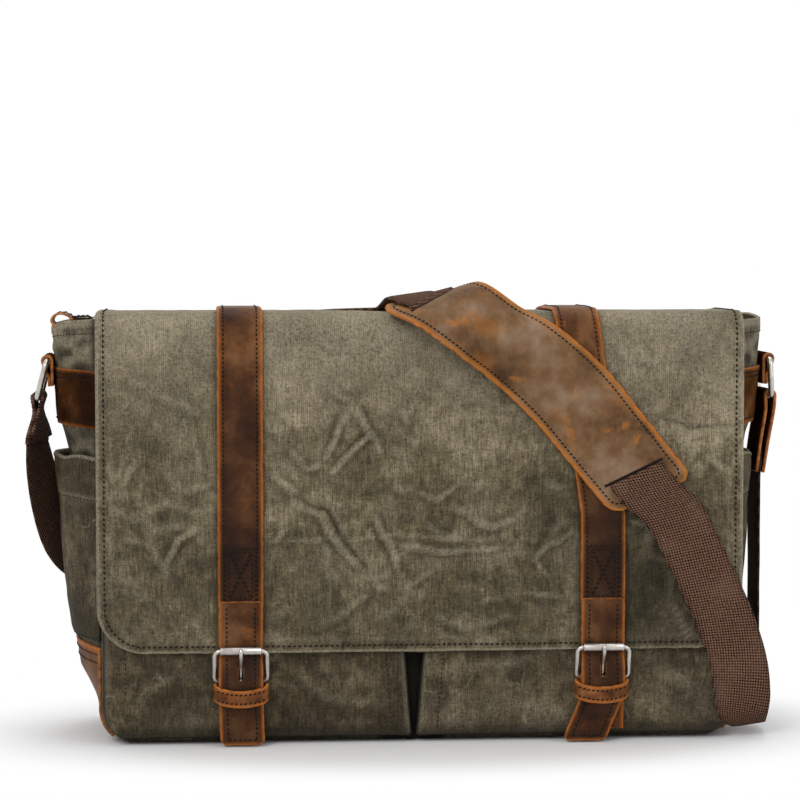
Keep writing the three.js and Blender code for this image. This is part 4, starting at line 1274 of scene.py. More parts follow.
    def build_base(self) -> None:
        """Builds the base, turned up at both ends."""
        piece = Piece("base_body", "canvas_dark")
        turned = [(CORNER - HALF - 21 * math.sin(t), CORNER - 21 * math.cos(t)) for t in np.linspace(math.pi / 2, 0, 9)]
        level = [(x, 1.0) for x in steps(CORNER - HALF, HALF - CORNER, 9)[1:-1]]
        line = np.array(turned + level + [(-x, z) for x, z in turned[::-1]])
        places = spots(line[:, :1], steps(GUSSET_FRONT - 0.6, GUSSET_BACK + 0.6, 5), line[:, 1:])
        places[..., 2] += 0.25 * np.abs(ripple(places, 30, 7))
        # Painted shade: the base is darkened by a quarter all over, for the shade beneath the bag
        Sheet(places, self.canvas, shade=0.25).add_to(piece, BASE_CANVAS)
        piece.build("bag", "bottom_panel")

    def build_lining(self) -> None:
        """Builds the loose cotton lining as one bag inside the bag."""
        piece = Piece("inner_lining", "lining")
        front, back = GUSSET_FRONT + 1.6, GUSSET_BACK - 1.4
        rings = []
        for z in np.append([3.4, 5, 9, 15], steps(22, 269, 7)):
            reach = self.width_at(z) - 1.5
            x, y = steps(-reach, reach, 8), steps(front, back, 7)[1:-1]
            right, left = (shape.side.value * (shape.out(y, 0 * y + z) - 3.4) for shape in (RIGHT_SIDE, LEFT_SIDE))
            runs = ((x, front), (right, y), (x[::-1], back), (left[::-1], y[::-1]))
            rings.append(np.concatenate([spots(a, b, z) for a, b in runs]))
        count = min(len(ring) for ring in rings)
        loops = [np.append(ring, ring[:1], axis=0) for ring in rings]
        places = np.array([read(np.linspace(0, distances(loop)[-1], count + 1)[:-1], distances(loop), loop)
                           for loop in loops])
        # Painted shade: the lining darkens towards the bag's floor
        Sheet(places, 1.0, shade=0.2 * smooth(places[..., 2], 120, 0), loop=True).add_to(piece, LINING)
        x, y = grid(steps(CORNER - HALF, HALF - CORNER, 12), steps(front, back, 9))
        floor = spots(x, y, 3.0 + 0.18 * np.abs(ripple(places[:1, :1], 45, 8)))
        Sheet(floor[:, ::-1], 1.0).add_to(piece, LINING)
        piece.build("bag", "lining")

    def build_divider(self) -> None:
        """Builds the padded divider with its bound top edge."""
        piece = Piece("padded_divider", "lining")
        half, low, high = 200.5, 4.2, 219.5
        z, x = grid(steps(low, high, 5), steps(-half, half, 5.5))
        thick = 1.6 + 3.1 * smooth(depth_inside(x, z, (-half, low), (half, high), 4), 0, 12)
        places = spots(x, 39.2 + 0.3 * ripple(spots(x, z, 0), 50, 3), z)
        sheet = Sheet(places, thick, flat=np.dstack([x, z])).add_to(piece, LINING)
        top = Sheet(places[-3:], thick[-3:] + 0.9).add_to(piece, LEATHER, RAW_EDGE)
        CANVAS_SEAM.across(piece, sheet, (0.01, 0.99), 0.945)
        LEATHER_SEAM.across(piece, top, (0.01, 0.99), 0.5)
        piece.build("bag", "laptop_divider")


@dataclass
class EndTrim:
    """The leather band, leather corner and canvas pocket on one end."""

    shape: SideShape
    leather: float = 2.0
    front: float = -41.2
    back: float = 57.0

    def build(self) -> None:
        """Builds the band below the mouth, the corner guard and the slack pocket with its deep hem."""
        share, y, u = self.spread(0.06)
        edge = np.maximum(smooth(share, 0.07, 0), smooth(share, 0.93, 1))
        # Painted shade: the left band is dark, most towards the front where the flap shades it; the right band is
        # shaded less
        dark = 0.4 + 0.5 * smooth(y, -14, -38) if self.shape.side is Side.LEFT else 0.25
        band = self.shape.sheet(y, 207 + 36.5 * share + 1.5 * np.sin(np.pi * u), 1.15, self.leather, 0.6 * edge,
                                dark - 0.3 * edge)
        self.attach("band", "gusset_band", band, MATT_LEATHER, 0.09, 0.85, 0.93)

        share, y, u = self.spread(0.04)
        z = 5 + (60 - 3.0 * np.cos(np.pi * u)) * share**1.25
        # Painted shade: the corner guard darkens towards the floor
        guard = self.shape.sheet(y, z, 1.15, self.leather, 0.9 * smooth(share, 0.93, 1), 0.3 * smooth(z, 40, 0))
        self.attach("corner_guard", "corner_leather", guard, LEATHER, 0.86, 0.94)

        share, y, u = self.spread(0.022)
        room = 8 * np.sin(np.pi * u) * np.sqrt(share)
        hem = smooth(share, 0.765, 0.785)
        wear = np.maximum(0.7 * smooth(share, 0.985, 1), 0.35 * bell(share, 0.775, 0.01))
        # Painted shade: the pocket darkens towards its bottom
        pocket = self.shape.sheet(y, 67 + (120 + 3 * np.sin(np.pi * u)) * share, 1.35 + room, 1.8 + 0.9 * hem, wear,
                                  0.25 * smooth(share, 0.2, 0))
        self.attach("end_pocket", "side_pocket", pocket, SHADED_POCKET_CANVAS, 0.768, 0.985, 0.012)

    def spread(self, step: float) -> tuple[Array, Array, Array]:
        """Shares of the way up, places from front to back, and shares of the way there, over a grid."""
        share, y = grid(steps(0, 1, step), steps(self.front, self.back, 3))
        return share, y, np.clip((y - self.front) / (self.back - self.front), 0, 1)

    def attach(self, name: str, node: str, sheet: Sheet, finish: Finish, *rows: float) -> None:
        """Makes one piece.

        Args:
            name: The piece's name, without its side.
            node: The node that it stands for, without its side.
            sheet: Its sheet.
            finish: Its finish.
            rows: Shares of the way up at which it is sewn.
        """
        leather = isinstance(finish, OiledLeather)
        piece = Piece(self.shape.side.named(name), "leather" if leather else "canvas")
        sheet.add_to(piece, finish, RAW_EDGE if leather else None)
        (LEATHER_SEAM if leather else CANVAS_SEAM).across(piece, sheet, (0.01, 0.99), *rows)
        piece.build("bag", self.shape.side.named(node))


@dataclass
class FrontPocket:
    """One of the two low pockets on the front, hemmed beside the V between them."""

    EDGE: ClassVar[tuple[float, ...]] = (0, 0.6, 1.3, 2.2, 3.4, 5.0)

    side: Side
    low: float = 4.0
    high: float = 215.0
    outer: float = 208.5
    wall: float = -45.4
    corner: float = 18.0
    thickness: float = 1.9
    creases: tuple[Crease, ...] = (
        Crease(((12, 48), (48, 50), (91, 61)), 0.9, 4.5, 0.5), Crease(((26, 58), (19, 9)), 0.8, 4, 0.45),
        Crease(((150, 52), (185, 30)), 0.7, 4, 0.4), Crease(((-190, 26), (-160, 48)), 0.7, 4, 0.4),
        Crease(((-90, 52), (-62, 30), (-30, 26)), 0.7, 4, 0.4), Crease(((60, 26), (92, 18)), 0.6, 4, 0.35),
        Crease(((-60, 180), (-110, 140)), 0.8, 5, 0.4), Crease(((70, 130), (140, 150)), 0.8, 5, 0.4))

    def inner(self, z: Array) -> Array:
        """The edge beside the V at a height."""
        return -5 + self.side.value * (2.0 + 17.0 * np.clip((z - self.low) / (self.high - self.low), 0, 1))

    def build(self) -> None:
        """Builds the pocket, stitched beside the V, down its outer edge and along its mouth."""
        way, edge = self.side.value, np.array(self.EDGE)
        turns = np.linspace(0, math.pi / 2, 8)[3:]
        z = np.unique(np.concatenate([self.low + edge[:-1], self.low + 1.5 + self.corner * (1 - np.cos(turns)),
                                      steps(self.low + self.corner + 5, self.high, 4)]))
        fall = np.clip(self.low + self.corner - z, 0, self.corner)
        outer, inner = way * (self.outer - self.corner + np.sqrt(self.corner**2 - fall**2)), self.inner(z)
        reach = np.abs(outer - inner)[:, None]
        across = np.concatenate([0 * reach + edge, 5 + (reach - 10) * np.linspace(0, 1, 52)[1:-1],
                                 reach - edge[::-1]], axis=1)
        x = (inner[:, None] + way * across)[:, ::way]
        z = np.broadcast_to(z[:, None], x.shape)
        first, last = np.sort([outer, inner], axis=0)[..., None]
        depth = np.minimum.reduce([x - first, last - x, z - self.low])
        near = np.abs(x - self.inner(z))
        hem = smooth(near, 9, 7.5)

        places = spots(x, 0, z)
        rough = 0.7 * ripple(places, (46, 46, 30), 3 + way) + 0.25 * ripple(places, 14, 9)
        rise, pale = creased(self.creases, x, z, 5 + way)
        free = smooth(depth, 2, 10) * smooth(np.abs(np.abs(x) - STRAP_X), 10, 34)
        slack = np.clip(rough + rise, -1.2, 2.0) * free
        round_off = np.sqrt(1 - (1 - np.clip(depth / 3.4, 0, 1)) ** 2)
        places[..., 1] = self.wall - 9.4 * round_off - np.clip(slack, -1.0, 1.4) + 0.4 * hem
        ridges, painted_shadows = relief(slack)
        wear = np.maximum.reduce([pale, 0.25 * ridges, 0.75 * bell(near, 1.4, 1.5), 0.35 * bell(depth, 2.2, 1.2),
                                  0.7 * smooth(z, self.high - 3, self.high)])
        # Painted shade: dark on the edges that turn back to the wall, darker towards the floor, and in the cloth's
        # hollows
        shade = np.maximum.reduce([0.95 * smooth(depth, 3.0, 0.8), 0.75 * smooth(z, 15, 5), 0.3 * painted_shadows])
        piece = Piece(self.side.named("pocket"), "canvas")
        sheet = Sheet(places, self.thickness + 0.8 * hem, wear, shade, np.dstack([x, z])).add_to(piece, SHADED_POCKET_CANVAS)
        last = x.shape[1] - 1
        hem_col, outer_col = (7 / last, 1 - 7.5 / last) if self.side is Side.RIGHT else (1 - 7 / last, 7.5 / last)
        CANVAS_SEAM.along(piece, sheet, (0.08, 0.99), hem_col)
        CANVAS_SEAM.along(piece, sheet, (0.2, 0.99), outer_col)
        CANVAS_SEAM.across(piece, sheet, (0.02, 0.98), 0.975)
        piece.build("bag", self.side.named("front_pocket"))


@dataclass
class Flap:
    """The large canvas flap: from the back rim over the mouth and down the front."""

    half: float = 211.5
    hem: float = 61.0
    corner: float = 30.0
    thickness: float = 2.0
    step: float = 1.8
    seam_inset: float = 4.2
    # Painted shadows: soft dark spots, mostly under the shoulder pad and between the right strap and the webbing, as
    # places across and up, reach and darkness
    painted_shadows: tuple[tuple[float, float, float, float], ...] = (
        (146, 100, 30, 0.6), (88, 150, 22, 0.35), (-190, 92, 20, 0.15), (-60, 100, 12, 0.2), (-12, 205, 16, 0.15),
        (-186, 200, 22, 0.2))
    creases: tuple[Crease, ...] = (
        Crease(((-50, 217), (-57, 204), (-64, 189)), 2.2, 1.6, 1.0),
        Crease(((-35, 204), (-47, 191), (-59, 178)), 2.3, 1.7, 1.0),
        Crease(((-40, 226), (-34, 208), (-24, 192)), -2.6, 1.7, 0.0),
        Crease(((-62, 235), (-46, 225), (-38, 206)), 1.8, 2.6, 0.7), Crease(((-103, 179), (-85, 166)), 1.3, 2.2, 0.6),
        Crease(((-88, 195), (-75, 182), (-64, 184)), 1.2, 2.0, 0.6),
        Crease(((-85, 163), (-62, 154), (-49, 130), (-38, 117)), -2.2, 1.7, 0.0),
        Crease(((-67, 150), (-53, 130), (-39, 113)), 2.0, 1.8, 0.9), Crease(((-62, 137), (-61, 86)), 0.45, 1.5, 0.4),
        Crease(((-103, 135), (-20, 136), (98, 134)), 0.35, 1.5, 0.35),
        Crease(((-31, 146), (-21, 128), (-15, 113)), 2.0, 1.8, 0.9), Crease(((-32, 106), (-20, 101)), 0.9, 4.0, 0.5),
        Crease(((-62, 81), (-49, 89), (-36, 99)), 1.1, 2.0, 0.6),
        Crease(((-18, 131), (13, 127), (53, 128)), 1.2, 1.7, 0.6),
        Crease(((99, 140), (82, 130), (74, 120), (84, 109)), 1.4, 1.7, 0.75),
        Crease(((40, 94), (66, 99), (95, 96)), 1.2, 2.3, 0.6),
        Crease(((20, 156), (46, 143), (72, 150)), 0.9, 2.6, 0.45), Crease(((-13, 235), (20, 225)), 1.1, 3.3, 0.45),
        Crease(((-175, 274), (-157, 261), (-135, 246)), 1.2, 2.0, 0.6),
        Crease(((-200, 243), (-177, 233), (-157, 223), (-135, 207)), 1.5, 3.3, 0.4),
        Crease(((-150, 205), (-144, 179)), 1.2, 3.3, 0.5),
        Crease(((-167, 119), (-158, 135), (-147, 143)), 2.2, 2.0, 1.0),
        Crease(((-193, 137), (-170, 130)), 1.1, 2.3, 0.5), Crease(((-203, 88), (-190, 68)), 0.9, 3.3, 0.4),
        Crease(((145, 267), (155, 256), (145, 243)), 1.0, 1.7, 0.5), Crease(((125, 256), (151, 251)), 1.0, 2.6, 0.45),
        Crease(((154, 215), (177, 207), (209, 209)), -1.3, 2.0, 0.1),
        Crease(((167, 120), (163, 94), (177, 68)), 1.1, 2.0, 0.45),
        Crease(((-98, 267), (-75, 270), (-59, 261), (-49, 259)), 1.0, 1.8, 0.55),
        Crease(((-98, 133), (-88, 143)), 1.1, 1.6, 0.5), Crease(((-20, 168), (8, 160), (24, 170)), 0.9, 2.0, 0.35),
        Crease(((6, 84), (30, 76), (58, 84)), 1.0, 2.2, 0.4), Crease(((-196, 170), (-184, 190)), 1.0, 2.6, 0.35))

    def __post_init__(self) -> None:
        """Lays out the line that the flap follows."""
        line = [(59.2, 262.0), (59.2, 266.0)] + arc((55.2, 273.0), 4, 0, 90, 10) + [(36, 280.1), (16, 281.9)]
        self.rail = Rail(line + arc((-45, 268.3), 14, 90, 180, 16) + [(-59, self.hem)])

    def swell(self, x: Array, s: Array) -> tuple[Array, Array]:
        """The cloth's waves and creases.

        Args:
            x: Places across.
            s: Distances along the flap.

        Returns:
            How far out the cloth stands, and its chalky wear.
        """
        places = self.rail.at(x, s, 0.0)
        z = places[..., 2]
        front = smooth(s, 108, 150)
        rough = 1.5 * ripple(places, (85, 85, 70), 1) + 0.95 * ripple(places, (34, 40, 30), 2)
        fine = 0.34 * ripple(places, (12, 20, 10), 3) + 0.13 * ripple(places, 5, 4)
        rise, pale = creased(self.creases, x, z)
        folds = smooth(1 - 5 * np.abs(ripple(places, (34, 40, 26), 7)), 0, 1)
        folds = folds * smooth(ripple(places, 55, 8), -0.02, 0.3)
        rise, pale = (rise + 0.55 * folds) * front, np.maximum(pale, 0.3 * folds) * front
        free = 0.12 + 0.88 * smooth(self.from_straps(x, z), 13, 28)
        seam = smooth(np.abs(np.abs(x) - self.half), 2, 16)
        hang = 0.7 + 0.8 * smooth(z, 240, 120)
        out = (rough * (0.55 + 0.45 * front) + 1.5 * rise) * free * hang + fine * (0.3 + 0.7 * free)
        out = np.where(out < 0, 0.55 * out, out) * (0.35 + 0.65 * seam) * smooth(s, 2, 22)
        return np.clip(out, -0.25 - 1.3 * front, 4.2), np.clip(pale * free, 0, 1)

    def strap_x(self, z: Array) -> Array:
        """Where the right strap's middle is at a height."""
        return np.interp(z, [150, 280], [STRAP_X, 101])

    def from_straps(self, x: Array, z: Array) -> Array:
        """How far places are from the middle of the nearer strap."""
        return np.minimum(np.abs(x + STRAP_X), np.abs(x - self.strap_x(z)))

    def face(self, x: Array, s: Array, lift: float | Array) -> Array:
        """Places across and along the flap, some way above its middle."""
        return self.rail.at(x, s, self.swell(x, s)[0] + lift)

    def build(self) -> None:
        """Builds the flap as two pieces that meet on the top."""
        end = self.rail.length
        low = end - self.corner * (1 - np.cos(np.radians(np.linspace(90, 6, 12)[1:])))
        s = np.concatenate([steps(0, 14, 1.4), steps(14, end - self.corner, self.step)[1:], low, [end - 0.02]])
        run, share = grid(s, np.linspace(1, -1, 237))
        left = np.clip(self.corner - (end - run), 0, self.corner)
        x = share * (self.half - self.corner + np.sqrt(self.corner**2 - left**2))
        out, pale = self.swell(x, run)
        places = self.rail.at(x, run, out)
        inside = np.minimum(depth_inside(x, end - run, (-self.half, 0), (self.half, 900), self.corner), 30)
        wear, shade = self.tones(places, run, inside, pale, relief(out, 2))
        sheet = Sheet(places, self.thickness + 0.9 * smooth(inside, 10, 8), wear, shade, np.dstack([x, run]))

        cut = int(np.argmin(np.abs(places[:, 118, 1]) + (s > 110) * 500))
        middle = float(s[cut])
        rear, fore = Piece("flap_cloth_rear", "canvas"), Piece("flap_cloth_front", "canvas")
        sheet.part(0, cut).add_to(rear, CANVAS, back=LINING, open_end=True)
        sheet.part(cut, len(s) - 1).add_to(fore, CANVAS, back=LINING, open_start=True)
        for side in (-1, 1):
            self.sew(rear, np.full(90, side * (self.half - self.seam_inset)), np.linspace(6, middle, 90))
        self.sew(fore, *self.hem_line(middle))
        self.sew(rear, np.linspace(-205, 205, 200), np.full(200, 4.0))
        back = rear.loose("flap_top_panel")
        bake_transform(back)
        front = fore.loose("flap_front_panel")
        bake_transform(front)

    def tones(self, places: Array, s: Array, inside: Array, pale: Array, rounds: tuple[Array, Array]
              ) -> tuple[Array, Array]:
        """The cloth's wear, with painted light on its top, and its painted shade.

        Args:
            places: Its places.
            s: Distances along it.
            inside: Distances from its edge.
            pale: The wear of its creases.
            rounds: Its ridges and hollows; the hollows get painted shade.

        Returns:
            The wear, with the painted top light, and the painted shade.
        """
        x, y, z = np.moveaxis(places, -1, 0)
        folded = 0.35 * bell(s, 118, 8) * (0.5 + ripple(places, 20, 5))
        # Painted light: though named rubbed, this is no rubbing; the wear mark grows towards the top, so the flap is
        # paler where light from above falls
        rubbed = (0.06 + 0.86 * smooth(z, 180, 284)) * (0.7 + 0.5 * ripple(places, 40, 6))
        wear = np.maximum.reduce([pale, 0.95 * smooth(inside, 1.8, 0.4), 0.3 * bell(inside, 9.2, 1.2), folded,
                                  0.5 * rounds[0], rubbed])
        # Painted shade: shadows under and beside the straps, and a dark line for the shade in the hem's stitch groove
        shade = 0.35 * smooth(self.from_straps(x, z), 19, 15.5) + 0.22 * bell(inside, 4.4, 1.2)
        # Painted shadows from the spots listed on the class
        shade += sum(dark * bell(x, bx, reach) * bell(z, bz, 1.3 * reach) for bx, bz, reach, dark in self.painted_shadows)
        # Painted shade: darker towards the bottom of the front, and in the cloth's hollows
        shade = np.maximum(shade + 0.2 * smooth(z, 190, 80) * (y < -40), 0.4 * rounds[1])
        return wear, np.clip(shade, 0, 0.8)

    def hem_line(self, start: float) -> tuple[Array, Array]:
        """The line of stitches down both sides and along the hem.

        Args:
            start: Where on the top it starts.

        Returns:
            Places across and distances along the flap.
        """
        end, radius = self.rail.length - self.seam_inset, self.corner - self.seam_inset
        edge = self.half - self.seam_inset - radius
        turns = np.linspace(0, math.pi / 2, 24)[1:]
        x = np.append(np.full(160, edge + radius), edge + radius * np.cos(turns))
        s = np.append(np.linspace(start, end - radius, 160), end - radius + radius * np.sin(turns))
        foot = np.linspace(x[-1], -x[-1], 200)[1:-1]
        return np.concatenate([x, foot, -x[::-1]]), np.concatenate([s, 0 * foot + end, s[::-1]])

    def sew(self, piece: Piece, x: Array, s: Array) -> None:
        """Sews along a line on the flap's face.

        Args:
            piece: The piece that the thread joins.
            x: Places across.
            s: Distances along the flap.
        """
        lift = self.thickness / 2 + 0.6
        path = self.face(x, s, lift)
        FLAP_SEAM.sew(piece, path, unit(self.face(x, s, lift + 1) - path))


@dataclass
class ClosingStrap:
    """One leather closing strap, with its tongue, buckle, chape and keeper."""

    # The tongue's line behind the roller, over the bar and through the keeper, as places in Y and Z
    TONGUE: ClassVar[tuple] = (
        (-62.9, 94.5), (-63.4, 88), (-62.6, 78), (-61.7, 68), (-61.6, 63), (-61.9, 60.5), (-63.6, 53), (-65.4, 45.5),
        (-65.7, 42), (-65.4, 38.5), (-64.4, 31), (-63.6, 26), (-63.0, 16.5), (-62.8, 1.2))
    PRONG: ClassVar[tuple] = (
        (-61.9, 44.2), (-62.4, 48), (-63.8, 52), (-66.8, 56.2), (-69.3, 60), (-69.7, 63), (-69.4, 64.8))

    side: Side
    flap: Flap
    width: float = 29.0
    thickness: float = 2.6
    hem: float = 92.0
    bar: tuple[float, float] = (-60.3, 42.0)
    roller: tuple[float, float] = (-65.7, 63.0)
    snap: float = 16.5

    def build(self) -> None:
        """Builds every piece of the strap."""
        self.x = self.side.value * STRAP_X
        self.build_strap()
        self.build_tongue()
        self.build_chape()
        self.build_keeper()
        self.build_buckle()
        self.build_snap()

    def middle(self, s: Array) -> Array:
        """Where the strap's middle is along the flap."""
        y, z = np.moveaxis(self.flap.rail.at(0 * s, s, 0), -1, 0)[1:]
        return np.full_like(s, -STRAP_X) if self.side is Side.LEFT else np.where(y > -52, 101.0, self.flap.strap_x(z))

    def build_strap(self) -> None:
        """Builds the long strap over the flap, raw-edged and stitched down, with a crossed box at its foot."""
        piece = Piece(self.side.named("strap"), "leather")
        rail = self.flap.rail
        first, last = float(rail.run[np.argmax(rail.line[:, 0] < 55.6)]), rail.where_z(self.hem)
        s, c = grid(steps(first, last, 2.2), np.linspace(1, -1, 15))
        x = self.middle(s) + c * (self.width / 2 - 0.3)
        waves = 0.3 * ripple(spots(x, s, 0), (60, 26, 1), 11 + self.side.value)
        places = self.flap.face(x, s, self.flap.thickness / 2 + 0.25 + self.thickness / 2 + waves)
        z = places[..., 2]
        raw = smooth((1 - np.abs(c)) * self.width / 2, 2.3, 1.2)
        patch = smooth(z, 133, 130) * (places[..., 1] < -50)
        # Painted shade: the strap darkens from where it lies on the top down the front, as light from above falls; the
        # ripple is its own patchy tone
        shade = 0.6 * smooth(z, 268, 205) + 0.4 * ripple(places, (20, 20, 30), 12) + 0.2 * patch - 0.8 * raw
        sheet = Sheet(places, self.thickness - 0.7 * raw + 0.1 * (1 - c**2), 0.95 * raw, np.clip(shade, 0, 0.85),
                      np.dstack([c * self.width / 2, s]))
        sheet.add_to(piece, LEATHER, RAW_EDGE)
        LEATHER_SEAM.along(piece, sheet, (0.01, 1), 3.4 / self.width, 1 - 3.4 / self.width)

        for grow in (0.0, 2.2):
            ends = [(rail.where_z(z) - first) / (last - first) for z in (94.5 + grow, 129.5 - grow)]
            inset = (4.6 + grow) / self.width
            LEATHER_SEAM.across(piece, sheet, (inset, 1 - inset), *ends)
            LEATHER_SEAM.along(piece, sheet, ends, inset, 1 - inset)
        ends = [(rail.where_z(z) - first) / (last - first) for z in (97.5, 126.5)]
        inset = 7.4 / self.width
        for shift in (-0.02, 0.02):
            for rows in (ends, ends[::-1]):
                LEATHER_SEAM.line(piece, sheet, rows, (inset + shift, 1 - inset + shift))
        thing = piece.loose(self.side.named("strap_front"), self.side.named("strap_top"))
        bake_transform(thing)

    def across(self, z: Array | float) -> Array:
        """The tongue's drift below the keeper, to the left on the right strap."""
        return 1.0 * smooth(z, 40, 0) if self.side is Side.LEFT else -13.0 * smooth(z, 44, -6) ** 1.4

    def build_tongue(self) -> None:
        """Builds the tongue, slotted for the prong."""
        piece = Piece(self.side.named("tongue_strap"), "leather")
        curve = spline(self.TONGUE, 400)
        run, length = distances(np.array(self.TONGUE))[-1], distances(curve)
        y, z = read(steps(0, run, 1.9) * length[-1] / run, length, curve).T
        rows = np.flatnonzero((z < 59.4) & (z > 43.2))
        half = self.width / 2 - 0.6
        z, c = grid(z, np.concatenate([np.linspace(half, 2.2, 7), np.linspace(-2.2, -half, 7)]))
        tip = half - 3 + np.sqrt(9 - np.clip(4.2 - z, 0, 3) ** 2)
        x = self.x + self.across(z) + np.clip(c, -tip, tip)
        lift = 0.6 * smooth(z, 20, 2) * (0.5 + 0.5 * c / half)
        places = spots(x, y[:, None] - lift - 0.15 * ripple(spots(x, z, 0), 16, 13), z)
        raw = np.maximum(smooth(half - np.abs(c), 2.1, 1.1), smooth(z, 3.2, 2.0))
        shade = 0.2 + 0.3 * ripple(places, (20, 20, 26), 14) - 0.6 * raw + 0.4 * smooth(z, 70, 62)
        sheet = Sheet(places, self.thickness - 0.3 - 0.6 * raw, 0.95 * raw, shade, np.dstack([c, z]))
        sheet.add_to(piece, LEATHER, RAW_EDGE, hole=(int(rows[0]), int(rows[-1]), 6, 7))
        LEATHER_SEAM.along(piece, sheet, (0.03, 0.97), 2.4 / 13, 1 - 2.4 / 13)
        LEATHER_SEAM.across(piece, sheet, (2.2 / 13, 1 - 2.2 / 13), 0.968)
        piece.build("flap_front", self.side.named("tongue"))

    def build_chape(self) -> None:
        """Builds the chape that holds the buckle's bar, slotted for the prong."""
        piece = Piece(self.side.named("buckle_chape"), "leather")
        fold = [(self.bar[0] + 2.34 * math.cos(t), self.bar[1] + 2.6 * math.sin(t))
                for t in np.linspace(-0.6, math.pi + 0.6, 12)]
        line = np.array([(-60.2, 8.5), (-60.2, 36), *fold, (-61.6, 34.0), (-61.55, 30)])
        x = np.array([14, 11.5, 8.5, 5.5, 2.4, -2.4, -5.5, -8.5, -11.5, -14])
        edge = smooth(np.abs(x), 11, 13.5)
        rows = np.flatnonzero(line[:, 1] > 39.4)
        sheet = Sheet(spots(self.x + x, line[:, :1], line[:, 1:]), 1.4, 0.9 * edge, 0.3 - 0.3 * edge)
        sheet.add_to(piece, LEATHER, RAW_EDGE, hole=(int(rows[0]), int(rows[-1]), 4, 5))
        piece.build("flap_front", self.side.named("chape"))

    def build_keeper(self) -> None:
        """Builds the sewn loop that holds the tongue's tail."""
        piece = Piece(self.side.named("keeper_loop"), "leather")
        half, front, back = self.width / 2 + 1.4, -67.6, -59.6
        path = [(half - 0.2, back), (half + 1.0, back - 2.0), (half + 1.0, front + 3.0), (half - 1.4, front + 0.4),
                (half * 0.55, front - 0.9), (0, front - 1.3)]
        path += [(-x, y) for x, y in path[-2::-1]] + [(-half * 0.5, back + 0.2), (half * 0.5, back + 0.2)]
        x, y = spline(path + path[:1], 72)[-2::-1].T
        z = np.array([29.0, 29.9, 31.8, 34.1, 36.4, 38.3, 39.2])[:, None]
        sag = 1.8 - 4.2 * smooth(y, -63, -68) * (1 - 0.6 * (x / half) ** 2)
        ends = np.array([1, 0.5, 0, 0, 0, 0.5, 1])[:, None]
        sheet = Sheet(spots(self.x + self.across(31.5) + x, y, sag + z), 1.7, 0.9 * ends, loop=True)
        sheet.add_to(piece, TAB_LEATHER, RAW_EDGE)
        shown = np.flatnonzero(y < front + 1.2) / (len(y) - 1)
        LEATHER_SEAM.across(piece, sheet, (shown.min(), shown.max()), 0.28, 0.72)
        piece.build("flap_front", self.side.named("keeper"))

    def build_buckle(self) -> None:
        """Builds the nickel frame, roller and prong."""
        named = self.side.named
        low, high = (self.x, *self.bar), (self.x, *self.roller)
        wire = Piece(named("buckle_wire"), "nickel")
        loop = rounded_loop(low, high, 17.2, (1, 0, 0), 4.0)
        add_tube(wire, loop, 1.6, NICKEL, 16, closed=True, up=(0.05, 1, 0.3))
        wire.build(named("buckle"), named("buckle_frame"))

        roller = Piece(named("buckle_roller"), "nickel")
        rim = [(13.5, 2.4), (13.2, 2.95), (12.6, 3.0), (12.2, 2.8)]
        profile = [(-13.4, 1.75), (13.4, 1.75), *rim, *((-a, radius) for a, radius in rim[::-1])]
        add_turned(roller, high, profile, 0, 32)
        roller.build(named("roller"), named("roller"))

        prong = Piece(named("buckle_prong"), "nickel")
        add_turned(prong, low, [(-1.3, 1.9), (1.3, 1.9), (1.5, 2.4), (1.3, 3.1), (-1.3, 3.1), (-1.5, 2.4)], 0, 24)
        path = spline([(self.x, y, z) for y, z in self.PRONG], 28)
        taper = np.interp(np.linspace(0, 1, 28), [0, 0.15, 0.85, 1], [1.2, 1.5, 1.4, 0.85])
        add_tube(prong, path, taper, NICKEL, 14, up=(1, 0, 0))
        prong.build(named("prong"), named("prong"))

    def build_snap(self) -> None:
        """Builds the two halves of the hidden snap."""
        cap = Piece(self.side.named("snap_disc"), "nickel")
        add_turned(cap, (self.x, 0, self.snap), [(-59.1, 0.2), (-58.05, 0.2), (-58.05, 5.2), (-58.3, 6.6),
                                                 (-58.8, 7.0), (-59.1, 6.6)], 1, 36)
        cap.build("flap_front", self.side.named("snap_cap"))
        stud = Piece(self.side.named("snap_post"), "nickel")
        add_turned(stud, (self.x, 0, self.snap), [(-57.6, 0.2), (-56.5, 0.2), (-56.5, 6.8), (-57.0, 7.0),
                                                  (-57.4, 6.4), (-57.2, 4.4), (-57.6, 3.6)], 1, 36)
        stud.build("bag", self.side.named("snap_stud"))


def folded(line: Sequence[tuple[float, float]], y: Array, count: int) -> Array:
    """Places on a strip that follows a line of places across and heights, at places from front to back."""
    path = spline(line, count)
    return spots(path[:, :1], y, path[:, 1:])


def edged(places: Array, thickness: float, start: float, dark: float) -> Sheet:
    """A strip of leather that is dark in its middle and rubbed from a share of the way to its sides."""
    edge = smooth(np.abs(np.linspace(-1, 1, places.shape[1])), start, 1)
    return Sheet(places, thickness, 0.9 * edge, dark * (1 - edge))


